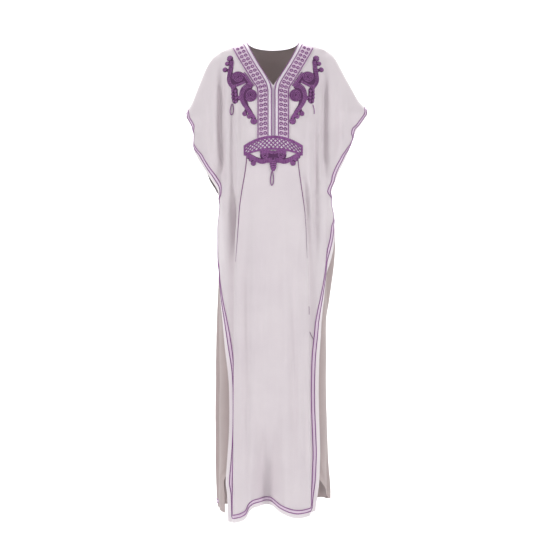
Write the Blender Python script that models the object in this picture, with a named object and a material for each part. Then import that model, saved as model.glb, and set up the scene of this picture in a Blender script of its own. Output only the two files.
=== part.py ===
"""A long, loose kaftan in the hollow form that it has when it is worn.

The cloth is a front and a back panel, lapped at the sides below the arms, with ribbon trims, a V neck
band, a curved waist band, corded scrolls and cord loops sewn on. Metres, +Z up, the front faces -Y.
The origin is where the wearer's shoulders carry it: midway between the neck points, at their height.
"""

import math
from collections import namedtuple

import bmesh
import bpy
import numpy as np
from mathutils import Vector
from mathutils.bvhtree import BVHTree

# Cloth and seams
WALL = 0.0015
GAP = 0.0003
APPLIQUE = 0.0015
RIBBON = 0.0010
SLEEVE_GAP = 0.0017

# Neck
NECK_HALF = 0.0775
V_DEPTH = 0.144
V_CURVE = 1.25
BACK_NECK_DROP = 0.018

# Side edges and hem: a plain margin, then a ribbon of the same width
MARGIN = 0.0125
STRIP = 2 * MARGIN

# Levels, from the neck point down
JOINT_LEVEL = -0.490
SLIT_LEVEL = -1.262

# Grid of the panels
ROWS_TOP, ROWS_MIDDLE, ROWS_SLIT = 14, 11, 4
FRONT_INNER, BACK_INNER = 21, 14
NECK_SHARE = 0.34
CROWD, CROWD_AT, CROWD_WIDTH = 1.6, 0.56, 0.10
ROWS_CROWD = 0.18
WIDTH_SETTLE, EDGE_RATE = 0.12, 0.41
NEAR_EDGE = 0.72
LAP_EASE, LAP_SPARE = 0.03, 0.0036
SHARP_ANGLE = 40
SLOPE_STEP = 0.002
REACH, FURTHEST_FACE = 0.03, 0.012
SPREAD_STEPS, BAND_SPREAD = 8, 0.005
BAND_THICKNESS = 0.0012
PIECE_GAP = 0.0010
CLEAR_ROUNDS, CLEAR_GAP = 4, 0.0005
CLEAR_WEIGHTS = [
    (0.34, 0.33, 0.33),
    (0.50, 0.50, 0.00),
    (0.00, 0.50, 0.50),
    (0.50, 0.00, 0.50),
    (0.66, 0.17, 0.17),
    (0.17, 0.66, 0.17),
    (0.17, 0.17, 0.66),
    (0.75, 0.25, 0.00),
    (0.25, 0.75, 0.00),
    (0.00, 0.75, 0.25),
    (0.00, 0.25, 0.75),
    (0.75, 0.00, 0.25),
    (0.25, 0.00, 0.75),
]

HEM_LEVEL = -1.4

# Curve sampling for arc lengths
LEVELS, TURNS = 260, 721
HALVINGS = 24

# Each level's section joins the body's curve with the flatter one of the sleeves beside it. The sleeve's
# end is near 1 where front and back meet as two flat sheets, and small where the cloth turns in a round.
Section = namedtuple("Section", "height front back power sleeve sleeve_power sleeve_end")
SECTIONS = [
    Section(0.000, 0.0010, 0.0010, 2.1, 0.0000, 3.0, 0.34),
    Section(-0.006, 0.0200, 0.0240, 2.1, 0.0010, 3.0, 0.34),
    Section(-0.018, 0.0370, 0.0480, 2.1, 0.0060, 3.0, 0.34),
    Section(-0.050, 0.0610, 0.0760, 2.1, 0.0340, 3.0, 0.36),
    Section(-0.100, 0.0850, 0.0960, 2.1, 0.0530, 2.8, 0.48),
    Section(-0.150, 0.1030, 0.1060, 2.2, 0.0640, 2.6, 0.46),
    Section(-0.205, 0.1200, 0.1088, 2.2, 0.0700, 2.5, 0.60),
    Section(-0.245, 0.1260, 0.1090, 2.2, 0.0700, 2.6, 0.60),
    Section(-0.275, 0.1290, 0.1075, 2.3, 0.0690, 3.0, 0.50),
    Section(-0.310, 0.1300, 0.1060, 2.3, 0.0680, 3.8, 0.34),
    Section(-0.345, 0.1290, 0.1040, 2.3, 0.0660, 4.6, 0.25),
    Section(-0.400, 0.1260, 0.1010, 2.4, 0.0660, 5.0, 0.20),
    Section(-0.450, 0.1230, 0.1000, 2.4, 0.0640, 4.0, 0.25),
    Section(-0.520, 0.1210, 0.1010, 2.4, 0.0600, 3.0, 0.33),
    Section(-0.650, 0.1220, 0.1080, 2.4, 0.0500, 2.6, 0.38),
    Section(-0.850, 0.1250, 0.1120, 2.4, 0.0300, 2.4, 0.42),
    Section(-1.100, 0.1290, 0.1140, 2.4, 0.0300, 2.4, 0.42),
    Section(-1.450, 0.1340, 0.1160, 2.3, 0.0300, 2.4, 0.42),
]
BODY_HALF = 0.160
BLEND_POWER = 5
SIDE_POWER = 4
FOLD_FADE = 0.10
OUT_POWER = 6
LAP_OFFSET, LAP_WIDTH = 1.6, 1.3

# Half widths: the ridge over shoulder and arm down to the sleeve's tip, then the outermost side
Width = namedtuple("Width", "height half")
LEFT_TIP, RIGHT_TIP = -0.225, -0.215
LEFT_WIDTHS = [
    Width(0.000, NECK_HALF),
    Width(-0.006, 0.090),
    Width(-0.018, 0.128),
    Width(-0.030, 0.155),
    Width(-0.042, 0.173),
    Width(-0.054, 0.185),
    Width(-0.078, 0.200),
    Width(-0.126, 0.220),
    Width(-0.174, 0.239),
    Width(LEFT_TIP, 0.2600),
    Width(-0.236, 0.2548),
    Width(-0.248, 0.2478),
    Width(-0.262, 0.2405),
    Width(-0.278, 0.2355),
    Width(-0.300, 0.2358),
    Width(-0.324, 0.2380),
    Width(-0.351, 0.233),
    Width(-0.402, 0.202),
    Width(-0.453, 0.168),
    Width(-0.490, 0.158),
    Width(-0.560, 0.165),
    Width(-0.700, 0.163),
    Width(-0.900, 0.170),
    Width(-1.250, 0.173),
    Width(-1.350, 0.169),
    Width(-1.450, 0.160),
]
RIGHT_WIDTHS = [
    Width(0.000, NECK_HALF),
    Width(-0.006, 0.092),
    Width(-0.018, 0.140),
    Width(-0.030, 0.166),
    Width(-0.042, 0.180),
    Width(-0.054, 0.189),
    Width(-0.078, 0.202),
    Width(-0.126, 0.228),
    Width(-0.174, 0.255),
    Width(RIGHT_TIP, 0.2835),
    Width(-0.228, 0.2770),
    Width(-0.243, 0.2670),
    Width(-0.258, 0.2580),
    Width(-0.270, 0.2500),
    Width(-0.285, 0.2405),
    Width(-0.300, 0.2340),
    Width(-0.324, 0.2285),
    Width(-0.345, 0.2230),
    Width(-0.399, 0.196),
    Width(-0.444, 0.178),
    Width(-0.480, 0.173),
    Width(-0.520, 0.180),
    Width(-0.590, 0.187),
    Width(-0.654, 0.184),
    Width(-0.774, 0.168),
    Width(-0.840, 0.159),
    Width(-1.074, 0.160),
    Width(-1.250, 0.166),
    Width(-1.360, 0.173),
    Width(-1.450, 0.168),
]

# The front edge's distance before the outermost side, and the opening between front and back edges
Edge = namedtuple("Edge", "height before opening")
LEFT_EDGE = [
    Edge(LEFT_TIP, 0.000, 0.001),
    Edge(-0.238, 0.000, 0.010),
    Edge(-0.252, -0.001, 0.020),
    Edge(-0.267, -0.014, 0.015),
    Edge(-0.284, -0.024, 0.013),
    Edge(-0.300, -0.018, 0.022),
    Edge(-0.314, 0.008, 0.053),
    Edge(-0.329, 0.027, 0.077),
    Edge(-0.347, 0.043, 0.100),
    Edge(-0.375, 0.051, 0.104),
    Edge(-0.402, 0.0515, 0.098),
    Edge(-0.423, 0.047, 0.080),
    Edge(-0.442, 0.041, 0.060),
    Edge(-0.458, 0.036, 0.044),
    Edge(-0.474, 0.004, 0.004),
    Edge(JOINT_LEVEL, -0.026, -STRIP),
    Edge(-0.560, -0.034, -STRIP),
    Edge(-0.640, -0.022, -STRIP),
    Edge(-0.680, 0.000, -STRIP),
    Edge(-0.764, 0.035, -STRIP),
    Edge(-0.842, 0.060, -STRIP),
    Edge(-0.930, 0.0765, -STRIP),
    Edge(-0.984, 0.0855, -STRIP),
    Edge(-1.040, 0.0905, -STRIP),
    Edge(-1.150, 0.0925, -STRIP),
    Edge(SLIT_LEVEL, 0.0900, -STRIP),
    Edge(-1.305, 0.0885, 0.010),
    Edge(-1.345, 0.0960, 0.010),
    Edge(-1.450, 0.1020, 0.010),
]
RIGHT_EDGE = [
    Edge(RIGHT_TIP, 0.000, 0.001),
    Edge(-0.232, 0.001, 0.018),
    Edge(-0.250, 0.003, 0.044),
    Edge(-0.262, 0.012, 0.058),
    Edge(-0.276, 0.008, 0.050),
    Edge(-0.291, -0.010, 0.036),
    Edge(-0.304, -0.004, 0.046),
    Edge(-0.316, 0.012, 0.064),
    Edge(-0.330, 0.026, 0.082),
    Edge(-0.345, 0.0366, 0.096),
    Edge(-0.374, 0.0405, 0.096),
    Edge(-0.403, 0.039, 0.086),
    Edge(-0.425, 0.031, 0.066),
    Edge(-0.450, 0.030, 0.046),
    Edge(-0.464, 0.012, 0.016),
    Edge(-0.470, -0.004, 0.006),
    Edge(JOINT_LEVEL, -0.020, -STRIP),
    Edge(-0.522, -0.016, -STRIP),
    Edge(-0.550, 0.009, -STRIP),
    Edge(-0.596, 0.0175, -STRIP),
    Edge(-0.677, 0.0333, -STRIP),
    Edge(-0.744, 0.0520, -STRIP),
    Edge(-0.813, 0.0660, -STRIP),
    Edge(-0.880, 0.0730, -STRIP),
    Edge(-0.951, 0.0800, -STRIP),
    Edge(-1.060, 0.0835, -STRIP),
    Edge(-1.219, 0.0800, -STRIP),
    Edge(SLIT_LEVEL, 0.0820, -STRIP),
    Edge(-1.305, 0.0860, 0.006),
    Edge(-1.345, 0.0930, 0.060),
    Edge(-1.380, 0.0975, 0.094),
    Edge(-1.450, 0.1000, 0.104),
]

# A fold's line runs through three points; its two flanks have their own widths, towards the centre
# line and away from it. Rise is how far it stands out of the cloth, and is negative in a trough. Lean
# is how far the cloth on the centre's side laps over the trough.
Fold = namedtuple("Fold", "top_x top mid_x mid low_x low inner outer rise fade_in fade_out lean", defaults=[0])
FRONT_FOLDS = [
    Fold(-0.150, -0.04, -0.153, -0.25, -0.150, -0.46, 0.015, 0.014, -0.015, 0.14, 0.08),
    Fold(-0.190, -0.10, -0.187, -0.25, -0.178, -0.42, 0.018, 0.018, 0.009, 0.12, 0.08),
    Fold(-0.118, -0.13, -0.118, -0.35, -0.112, -0.68, 0.009, 0.009, -0.014, 0.16, 0.18),
    Fold(-0.097, -0.18, -0.097, -0.26, -0.098, -0.36, 0.009, 0.008, -0.008, 0.08, 0.08),
    Fold(-0.137, -0.40, -0.138, -0.55, -0.138, -0.76, 0.012, 0.012, 0.010, 0.12, 0.18),
    Fold(-0.088, -0.36, -0.111, -0.64, -0.116, -1.46, 0.008, 0.022, -0.021, 0.16, 0.00, 0.012),
    Fold(0.084, -0.36, 0.103, -0.68, 0.112, -1.46, 0.008, 0.022, -0.020, 0.16, 0.00, 0.008),
    Fold(0.156, -0.04, 0.152, -0.22, 0.146, -0.44, 0.018, 0.016, -0.015, 0.14, 0.10),
    Fold(0.196, -0.10, 0.197, -0.25, 0.186, -0.38, 0.018, 0.018, 0.010, 0.12, 0.08),
    Fold(0.124, -0.18, 0.125, -0.40, 0.130, -0.72, 0.010, 0.009, -0.016, 0.16, 0.18),
    Fold(0.106, -0.20, 0.108, -0.42, 0.116, -0.66, 0.010, 0.010, 0.007, 0.14, 0.14),
    Fold(0.010, -0.52, 0.009, -0.95, 0.006, -1.40, 0.018, 0.022, -0.009, 0.30, 0.20),
    Fold(-0.078, -0.50, -0.076, -0.90, -0.072, -1.28, 0.013, 0.015, -0.008, 0.25, 0.30),
    Fold(0.056, -0.70, 0.058, -1.00, 0.060, -1.40, 0.015, 0.015, -0.007, 0.30, 0.20),
    Fold(-0.014, -1.02, -0.016, -1.25, -0.020, -1.46, 0.034, 0.030, -0.072, 0.44, 0.00),
    Fold(-0.118, -1.10, -0.122, -1.28, -0.126, -1.46, 0.024, 0.030, 0.018, 0.34, 0.00),
]
BACK_FOLDS = [
    Fold(-0.150, -0.05, -0.154, -0.25, -0.150, -0.46, 0.016, 0.014, -0.008, 0.14, 0.10),
    Fold(0.154, -0.05, 0.156, -0.25, 0.150, -0.46, 0.016, 0.014, -0.008, 0.14, 0.10),
    Fold(-0.104, -0.20, -0.112, -0.70, -0.118, -1.46, 0.016, 0.012, -0.015, 0.30, 0.00),
    Fold(-0.062, -0.34, -0.064, -0.80, -0.070, -1.46, 0.016, 0.020, 0.012, 0.40, 0.00),
    Fold(-0.022, -0.24, -0.024, -0.75, -0.028, -1.46, 0.013, 0.016, -0.014, 0.36, 0.00),
    Fold(0.030, -0.40, 0.030, -0.85, 0.026, -1.46, 0.018, 0.018, 0.010, 0.40, 0.00),
    Fold(0.066, -0.22, 0.070, -0.70, 0.076, -1.46, 0.014, 0.012, -0.016, 0.30, 0.00),
    Fold(0.112, -0.36, 0.114, -0.80, 0.122, -1.46, 0.016, 0.016, 0.011, 0.40, 0.00),
]

# The hem's height across each panel
Hem = namedtuple("Hem", "x height")
FRONT_HEM = [
    Hem(-0.200, -1.400),
    Hem(-0.147, -1.4085),
    Hem(-0.128, -1.4225),
    Hem(-0.105, -1.4195),
    Hem(-0.080, -1.4085),
    Hem(-0.068, -1.3860),
    Hem(-0.054, -1.3770),
    Hem(-0.010, -1.3755),
    Hem(0.0226, -1.3915),
    Hem(0.052, -1.4030),
    Hem(0.072, -1.4065),
    Hem(0.105, -1.4020),
    Hem(0.118, -1.3950),
    Hem(0.200, -1.3850),
]
BACK_HEM = [
    Hem(-0.200, -1.386),
    Hem(-0.150, -1.396),
    Hem(-0.060, -1.404),
    Hem(0.020, -1.400),
    Hem(0.110, -1.396),
    Hem(0.145, -1.376),
    Hem(0.168, -1.370),
    Hem(0.200, -1.362),
]

# Neck band: its inner and outer edges at the shoulder, down the V and down the centre
Band = namedtuple("Band", "along inner_x inner_z outer_x outer_z")
BAND_SHOULDER, BAND_TURN = 0.1215, -0.155
BAND_OUTER = 0.0446
BAND_EDGES = [
    Band(0.00, 0.0785, -0.0020, BAND_SHOULDER, -0.0190),
    Band(0.12, 0.0663, -0.0310, 0.1070, -0.0480),
    Band(0.26, 0.0447, -0.0730, 0.0825, -0.0920),
    Band(0.40, 0.0215, -0.1120, 0.0610, -0.1290),
    Band(0.50, 0.0040, -0.1440, BAND_OUTER + 0.0015, BAND_TURN),
    Band(0.55, 0.0006, -0.1600, BAND_OUTER, -0.1700),
    Band(1.00, 0.0006, -0.2935, BAND_OUTER, -0.3010),
]
BAND_CELLS, BAND_ROWS, BAND_CROWD = 4, 22, 1.4

# Waist band: an arc that is high in the middle
WAIST_HALF = 0.0840
WAIST_TOP, WAIST_FALL = -0.2950, 0.0270
WAIST_HEIGHT, WAIST_END_HEIGHT = 0.0380, 0.0270
WAIST_CELLS, WAIST_ROWS = 22, 4

# Scrolls: solid round spirals and knots, joined by bars of cord. They stand beside the centre line.
Round = namedtuple("Round", "x z radius")
Bar = namedtuple("Bar", "x1 z1 x2 z2 half")
CHEST_ROUNDS = [
    Round(0.1272, -0.0565, 0.0088),
    Round(0.1350, -0.0722, 0.0068),
    Round(0.1422, -0.0899, 0.0074),
    Round(0.1030, -0.1200, 0.0215),
    Round(0.0660, -0.1740, 0.0190),
    Round(0.0836, -0.2270, 0.0078),
    Round(0.0696, -0.2363, 0.0070),
    Round(0.0563, -0.2510, 0.0098),
]
CHEST_BARS = [
    Bar(0.1272, -0.0580, 0.1225, -0.0650, 0.0062),
    Bar(0.1225, -0.0650, 0.1240, -0.0869, 0.0062),
    Bar(0.1240, -0.0869, 0.1265, -0.1071, 0.0068),
    Bar(0.1265, -0.1071, 0.1265, -0.1256, 0.0072),
    Bar(0.1265, -0.1256, 0.1190, -0.1400, 0.0072),
    Bar(0.1190, -0.1400, 0.1120, -0.1560, 0.0074),
    Bar(0.1350, -0.0722, 0.1250, -0.0760, 0.0046),
    Bar(0.1422, -0.0899, 0.1290, -0.0940, 0.0046),
    Bar(0.0930, -0.1100, 0.0750, -0.1320, 0.0056),
    Bar(0.0750, -0.1320, 0.0680, -0.1480, 0.0066),
    Bar(0.0680, -0.1480, 0.0850, -0.1580, 0.0080),
    Bar(0.0850, -0.1580, 0.0885, -0.1800, 0.0088),
    Bar(0.0885, -0.1800, 0.0800, -0.2030, 0.0080),
    Bar(0.0800, -0.2030, 0.0670, -0.2240, 0.0066),
    Bar(0.0670, -0.2240, 0.0563, -0.2420, 0.0056),
    Bar(0.1125, -0.1560, 0.1112, -0.1870, 0.0090),
    Bar(0.1080, -0.1810, 0.0920, -0.1810, 0.0056),
    Bar(0.0836, -0.2270, 0.0765, -0.2120, 0.0046),
    Bar(0.0696, -0.2363, 0.0665, -0.2240, 0.0046),
]
WAIST_ROUNDS = [
    Round(0.0243, -0.3502, 0.0140),
    Round(0.0000, -0.3465, 0.0100),
    Round(0.0000, -0.3730, 0.0102),
    Round(0.0724, -0.3540, 0.0062),
    Round(0.0650, -0.3620, 0.0064),
    Round(0.0572, -0.3730, 0.0078),
]
WAIST_BARS = [
    Bar(0.0000, -0.3465, 0.0243, -0.3450, 0.0086),
    Bar(0.0000, -0.3600, 0.0163, -0.3640, 0.0084),
    Bar(0.0000, -0.3860, 0.0000, -0.3600, 0.0084),
    Bar(0.0163, -0.3640, 0.0319, -0.3680, 0.0070),
    Bar(0.0319, -0.3680, 0.0475, -0.3620, 0.0064),
    Bar(0.0475, -0.3620, 0.0620, -0.3535, 0.0054),
    Bar(0.0620, -0.3535, 0.0724, -0.3540, 0.0048),
    Bar(0.0572, -0.3730, 0.0500, -0.3640, 0.0046),
]
SCROLL_PITCH = 0.0068
SHORTEST_CUT = 0.16

# Loops of cord that hang on the cloth: their top and foot, and the half width of the loop
Loop = namedtuple("Loop", "name x1 z1 x2 z2 half")
LOOPS = [
    Loop("chest_loop_left", -0.1203, -0.1955, -0.1226, -0.2276, 0.0052),
    Loop("waist_loop", -0.0030, -0.3965, -0.0040, -0.4372, 0.0054),
]
STRAND = Loop("chest_strand_right", 0.1152, -0.1990, 0.1175, -0.2260, 0.0)
STRAND_BOW = 0.0046
CORD_RADIUS = 0.0013
CORD_SIDES, LOOP_STEPS, STRAND_STEPS = 6, 18, 8

COLOURS = {
    "cloth": (0.83, 0.79, 0.82),
    "ribbon": (0.90, 0.84, 0.90),
    "cord": (0.25, 0.07, 0.27),
}


def smooth_table(keys, values):
    """A smooth curve through the rows that adds no bump between them, as a function of the key."""
    order = np.argsort(keys)
    xs = np.asarray(keys, float)[order]
    ys = np.asarray(values, float)[order]
    step = np.diff(xs)
    slope = np.diff(ys) / step
    rate = np.zeros(len(xs))
    same = slope[1:] * slope[:-1] > 0
    before, after = step[:-1], step[1:]
    first, second = 2 * after + before, after + 2 * before
    with np.errstate(divide="ignore", invalid="ignore"):
        mean = (first + second) / (first / slope[:-1] + second / slope[1:])
    rate[1:-1] = np.where(same, mean, 0.0)
    rate[0], rate[-1] = slope[0], slope[-1]

    def value(x):
        x = np.clip(x, xs[0], xs[-1])
        i = np.clip(np.searchsorted(xs, x) - 1, 0, len(step) - 1)
        t = (x - xs[i]) / step[i]
        start = (1 + 2 * t) * (1 - t) ** 2 * ys[i] + t * (1 - t) ** 2 * step[i] * rate[i]
        end = t * t * (3 - 2 * t) * ys[i + 1] + t * t * (t - 1) * step[i] * rate[i + 1]
        return start + end

    return value


def column_of(table, name):
    return smooth_table([row[0] for row in table], [getattr(row, name) for row in table])


def depth_of(name):
    """Depths are smoothed as squares, so that the cloth turns over the shoulder in a round."""
    squares = smooth_table([s.height for s in SECTIONS], [getattr(s, name) ** 2 for s in SECTIONS])
    return lambda z: np.sqrt(np.maximum(squares(z), 1e-8))


FRONT_DEPTH = depth_of("front")
BACK_DEPTH = depth_of("back")
POWER = column_of(SECTIONS, "power")
SLEEVE = column_of(SECTIONS, "sleeve")
SLEEVE_POWER = column_of(SECTIONS, "sleeve_power")
SLEEVE_END = column_of(SECTIONS, "sleeve_end")
HALF = {-1: column_of(LEFT_WIDTHS, "half"), 1: column_of(RIGHT_WIDTHS, "half")}
BEFORE = {-1: column_of(LEFT_EDGE, "before"), 1: column_of(RIGHT_EDGE, "before")}
OPENING = {-1: column_of(LEFT_EDGE, "opening"), 1: column_of(RIGHT_EDGE, "opening")}
TIP = {-1: LEFT_TIP, 1: RIGHT_TIP}
HEM = {"front": column_of(FRONT_HEM, "height"), "back": column_of(BACK_HEM, "height")}


def ease(t):
    t = np.clip(t, 0.0, 1.0)
    return t * t * (3 - 2 * t)


def fold_shift(folds, x, z):
    """How far the folds stand out of the cloth at a point of a panel, and how far they lap sideways."""
    rise = np.zeros(np.broadcast(x, z).shape)
    lap = np.zeros(rise.shape)
    for f in folds:
        line = smooth_table([f.top, f.mid, f.low], [f.top_x, f.mid_x, f.low_x])(z)
        away = (x - line) * np.sign(line)
        width = np.where(away < 0, f.inner, f.outer)
        start = ease((f.top - z) / f.fade_in)
        end = ease((z - f.low) / f.fade_out) if f.fade_out > 0 else 1.0
        rise = rise + f.rise * start * end * np.exp(-((away / width) ** 2))
        if f.lean:
            beside = (away + LAP_OFFSET * f.inner) / (LAP_WIDTH * f.inner)
            lap = lap + f.lean * np.sign(line) * start * end * np.exp(-(beside**2))
    return rise, lap


def turn_of(x, z, side):
    """The turn at which the front of the form lies a distance from the centre line."""
    across = np.clip(np.abs(x) / HALF[side](z), 0, 1)
    return (1 - (1 - across) ** (1 / SIDE_POWER)) / 2


def section_point(z, turn, side):
    """A point of the worn form: turn is 0 at the centre front, 0.5 at the side, 1 at the centre back."""
    front = turn <= 0.5
    across = 1 - (1 - np.where(front, 2 * turn, 2 - 2 * turn)) ** SIDE_POWER
    half, power, sleeve_power = HALF[side](z), POWER(z), SLEEVE_POWER(z)
    facing = np.where(front, -1.0, 1.0)
    depth = np.where(front, FRONT_DEPTH(z), BACK_DEPTH(z))
    body_across = np.minimum(across * half / np.minimum(half, BODY_HALF), 1.0)
    body = depth * (1 - body_across**power) ** (1 / power)
    sleeve = SLEEVE(z) * (1 - across**sleeve_power) ** SLEEVE_END(z)
    x = side * half * across
    y = facing * (body**BLEND_POWER + sleeve**BLEND_POWER) ** (1 / BLEND_POWER)
    out_x = side * across**OUT_POWER
    out_y = facing * (1 - across**OUT_POWER)
    front_rise, front_lap = fold_shift(FRONT_FOLDS, x, z)
    back_rise, back_lap = fold_shift(BACK_FOLDS, x, z)
    fade = ease((1 - across) / FOLD_FADE)
    rise = np.where(front, front_rise, back_rise) * fade / np.hypot(out_x, out_y)
    lap = np.where(front, front_lap, back_lap) * fade
    return x + out_x * rise + lap, y + out_y * rise


class ArcTable:
    """Lengths round the sections of one side, from the centre front, and the turn at any length."""

    def __init__(self, side, lowest=-1.45):
        self.side = side
        self.z = np.concatenate([-np.linspace(0, 0.03, 40), np.linspace(-0.031, lowest, LEVELS)])
        self.turn = np.linspace(0, 1, TURNS)
        x, y = section_point(self.z[:, None], self.turn[None, :], side)
        steps = np.hypot(np.diff(x, axis=1), np.diff(y, axis=1))
        self.arc = np.concatenate([np.zeros((len(self.z), 1)), np.cumsum(steps, axis=1)], axis=1)

    def level(self, z):
        place = np.interp(-z, -self.z, np.arange(len(self.z)))
        low = np.clip(place.astype(int), 0, len(self.z) - 2)
        return low, place - low

    def arc_at(self, z, turn):
        low, part = self.level(z)
        column = turn * (TURNS - 1)
        left = np.clip(column.astype(int), 0, TURNS - 2)
        along = column - left
        a = self.arc[low, left] * (1 - along) + self.arc[low, left + 1] * along
        b = self.arc[low + 1, left] * (1 - along) + self.arc[low + 1, left + 1] * along
        return a * (1 - part) + b * part

    def turn_at(self, z, arc):
        low, high = np.zeros(np.shape(arc)), np.ones(np.shape(arc))
        for _ in range(HALVINGS):
            middle = (low + high) / 2
            short = self.arc_at(z, middle) < arc
            low, high = np.where(short, middle, low), np.where(short, high, middle)
        return (low + high) / 2


ARCS = {side: ArcTable(side) for side in (-1, 1)}


def side_arc(side, z):
    """The arc length from the centre front to the outermost side."""
    return ARCS[side].arc_at(z, np.full(np.shape(z), 0.5))


def whole_arc(side, z):
    """The arc length from the centre front round to the centre back."""
    return ARCS[side].arc_at(z, np.ones(np.shape(z)))


def edge_distance(panel, side, z):
    """How far round the form the panel's side edge lies from the panel's own centre line."""
    below = z <= TIP[side]
    before = np.where(below, BEFORE[side](z), 0.0)
    opening = np.where(below, OPENING[side](z), 0.0)
    if panel == "front":
        return side_arc(side, z) - before
    return whole_arc(side, z) - side_arc(side, z) + before - opening


def ridge_points(side):
    """Heights down the ridge from the neck point to the sleeve's tip, and the lengths along it."""
    z = np.linspace(0, 1, 400) ** 1.6 * TIP[side]
    x = HALF[side](z)
    length = np.concatenate([[0], np.cumsum(np.hypot(np.diff(x), np.diff(z)))])
    return length, z


def neck_edge(panel, share):
    """The neckline at a share of the way from the centre to the neck point."""
    if panel == "front":
        return NECK_HALF * (1 - (1 - share) ** V_CURVE), -V_DEPTH * (1 - share)
    return NECK_HALF * math.sin(share * math.pi / 2), -BACK_NECK_DROP * math.cos(share * math.pi / 2)


Column = namedtuple("Column", "top start share from_edge")


def column_shares(panel, count):
    """Shares of the width at which the columns run, closer together at the front's lapped folds."""
    if panel == "back":
        return np.linspace(0, 1, count)
    share = np.linspace(0, 1, 200)
    crowd = 1 + CROWD * np.exp(-(((share - CROWD_AT) / CROWD_WIDTH) ** 2))
    total = np.concatenate([[0], np.cumsum((crowd[1:] + crowd[:-1]) / 2)])
    return np.interp(np.linspace(0, total[-1], count), total, share)


def panel_columns(panel, side):
    """The threads of one half of a panel, from its centre line to its side edge."""
    inner = FRONT_INNER if panel == "front" else BACK_INNER
    neck = round(inner * NECK_SHARE)
    length, ridge_z = ridge_points(side)
    columns = []
    for i, share in enumerate(column_shares(panel, inner)):
        if i < neck:
            x, height = neck_edge(panel, i / neck)
            z = np.array([height])
            turn = turn_of(x, z, side)
            start = ARCS[side].arc_at(z, turn if panel == "front" else 1 - turn)
        else:
            along = (i - neck) / (inner - 1 - neck) * (length[-1] - STRIP)
            z = np.array([np.interp(along, length, ridge_z)])
            start = side_arc(side, z)
        if panel == "back":
            start = whole_arc(side, z) - start
        columns.append(Column(z[0], start[0], share, None))
    for from_edge in (MARGIN, 0.0):
        z = np.interp(length[-1] - from_edge, length, ridge_z)
        columns.append(Column(z, 0.0, 1.0, from_edge))
    return columns


def column_heights(top, hem):
    """Heights down a column: close together at the top, level rows to the slit, then on to the hem."""
    t = np.arange(ROWS_TOP) / ROWS_TOP
    upper = top + (JOINT_LEVEL - top) * (t * t * (1 + ROWS_CROWD) / (t + ROWS_CROWD))
    middle = np.linspace(JOINT_LEVEL, SLIT_LEVEL, ROWS_MIDDLE, endpoint=False)
    lower = np.linspace(SLIT_LEVEL, hem + STRIP, ROWS_SLIT, endpoint=False)
    return np.concatenate([upper, middle, lower, [hem + STRIP, hem + MARGIN, hem]])


def eased_in(distance, fall):
    """A column leaves the ridge at one slope, whatever the distance from the edge that it settles at."""
    return distance * (1 - np.exp(-fall / (EDGE_RATE * np.maximum(distance, 1e-6))))


def column_distances(panel, side, z, column):
    """Where a column runs round the form: from its start it eases over to its share of the width."""
    edge = edge_distance(panel, side, z)
    fall = column.top - z
    if column.from_edge is not None:
        return edge - eased_in(column.from_edge, fall)
    low = (edge - STRIP) * column.share
    free = column.start + (low - column.start) * (1 - np.exp(-fall / WIDTH_SETTLE))
    near = edge - eased_in(edge - low, fall)
    near_edge = ease((column.share - NEAR_EDGE) / (1 - NEAR_EDGE))
    return free * (1 - near_edge) + near * near_edge


def tuck(panel, column, z):
    """How far the back's edge lies inside the form, where the front's edge is lapped over it."""
    if panel == "front" or (column.from_edge is None and column.share < 1):
        return np.zeros(np.shape(z))
    joined = ease((JOINT_LEVEL + 2 * LAP_EASE - z) / LAP_EASE) * ease((z - SLIT_LEVEL + 2 * LAP_EASE) / LAP_EASE)
    ends = np.minimum(np.abs(z - JOINT_LEVEL), np.abs(z - SLIT_LEVEL))
    return joined * (WALL + GAP + LAP_SPARE * (1 - ease(ends / LAP_EASE)))


def form_point(panel, side, z, distance):
    """A point of the form at a distance round it from the panel's centre line."""
    arc = distance if panel == "front" else whole_arc(side, z) - distance
    x, y = section_point(z, ARCS[side].turn_at(z, arc), side)
    return np.stack([x, y, z], axis=1)


def form_out(side, z, arc):
    """The direction out of the cloth at an arc length from the centre front."""
    high, low = np.minimum(z + SLOPE_STEP, -1e-4), z - SLOPE_STEP
    far = arc + SLOPE_STEP
    near = np.maximum(arc - SLOPE_STEP, 0.0)
    upper = form_point("front", side, high, np.minimum(arc, whole_arc(side, high)))
    down = form_point("front", side, low, arc) - upper
    around = form_point("front", side, z, np.minimum(far, whole_arc(side, z))) - form_point("front", side, z, near)
    return side * unit(np.cross(down, around))


def half_panel(panel, side):
    """Points down each column of one half of a panel, the directions out of it, and its tucks."""
    points, outs = [], []
    for column in panel_columns(panel, side):
        z = column_heights(column.top, HEM_LEVEL)
        for _ in range(3):
            x = form_point(panel, side, z, column_distances(panel, side, z, column))[-1, 0]
            z = column_heights(column.top, float(HEM[panel](x)))
        distance = column_distances(panel, side, z, column)
        arc = distance if panel == "front" else whole_arc(side, z) - distance
        out = form_out(side, z, arc)
        line = form_point(panel, side, z, distance) - out * tuck(panel, column, z)[:, None]
        points.append(line)
        outs.append(out)
    return np.array(points), np.array(outs)


def unit(vectors):
    return vectors / np.maximum(np.linalg.norm(vectors, axis=-1, keepdims=True), 1e-12)


def panel_grid(panel):
    """Mid-surface points of a whole panel from edge to edge, and the directions out of the cloth."""
    halves = {side: half_panel(panel, side) for side in (-1, 1)}
    points = np.concatenate([halves[-1][0][::-1], halves[1][0][1:]])
    out = np.concatenate([halves[-1][1][::-1], halves[1][1][1:]])
    inner = FRONT_INNER if panel == "front" else BACK_INNER
    middle = len(halves[-1][0]) - 1
    ridge = np.abs(np.arange(len(points)) - middle) >= round(inner * NECK_SHARE)
    out[ridge, 0, 1] = 0.0
    out = unit(out)
    points[ridge, 0, 1] = -GAP / 2 if panel == "front" else GAP / 2
    return points, out


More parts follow.
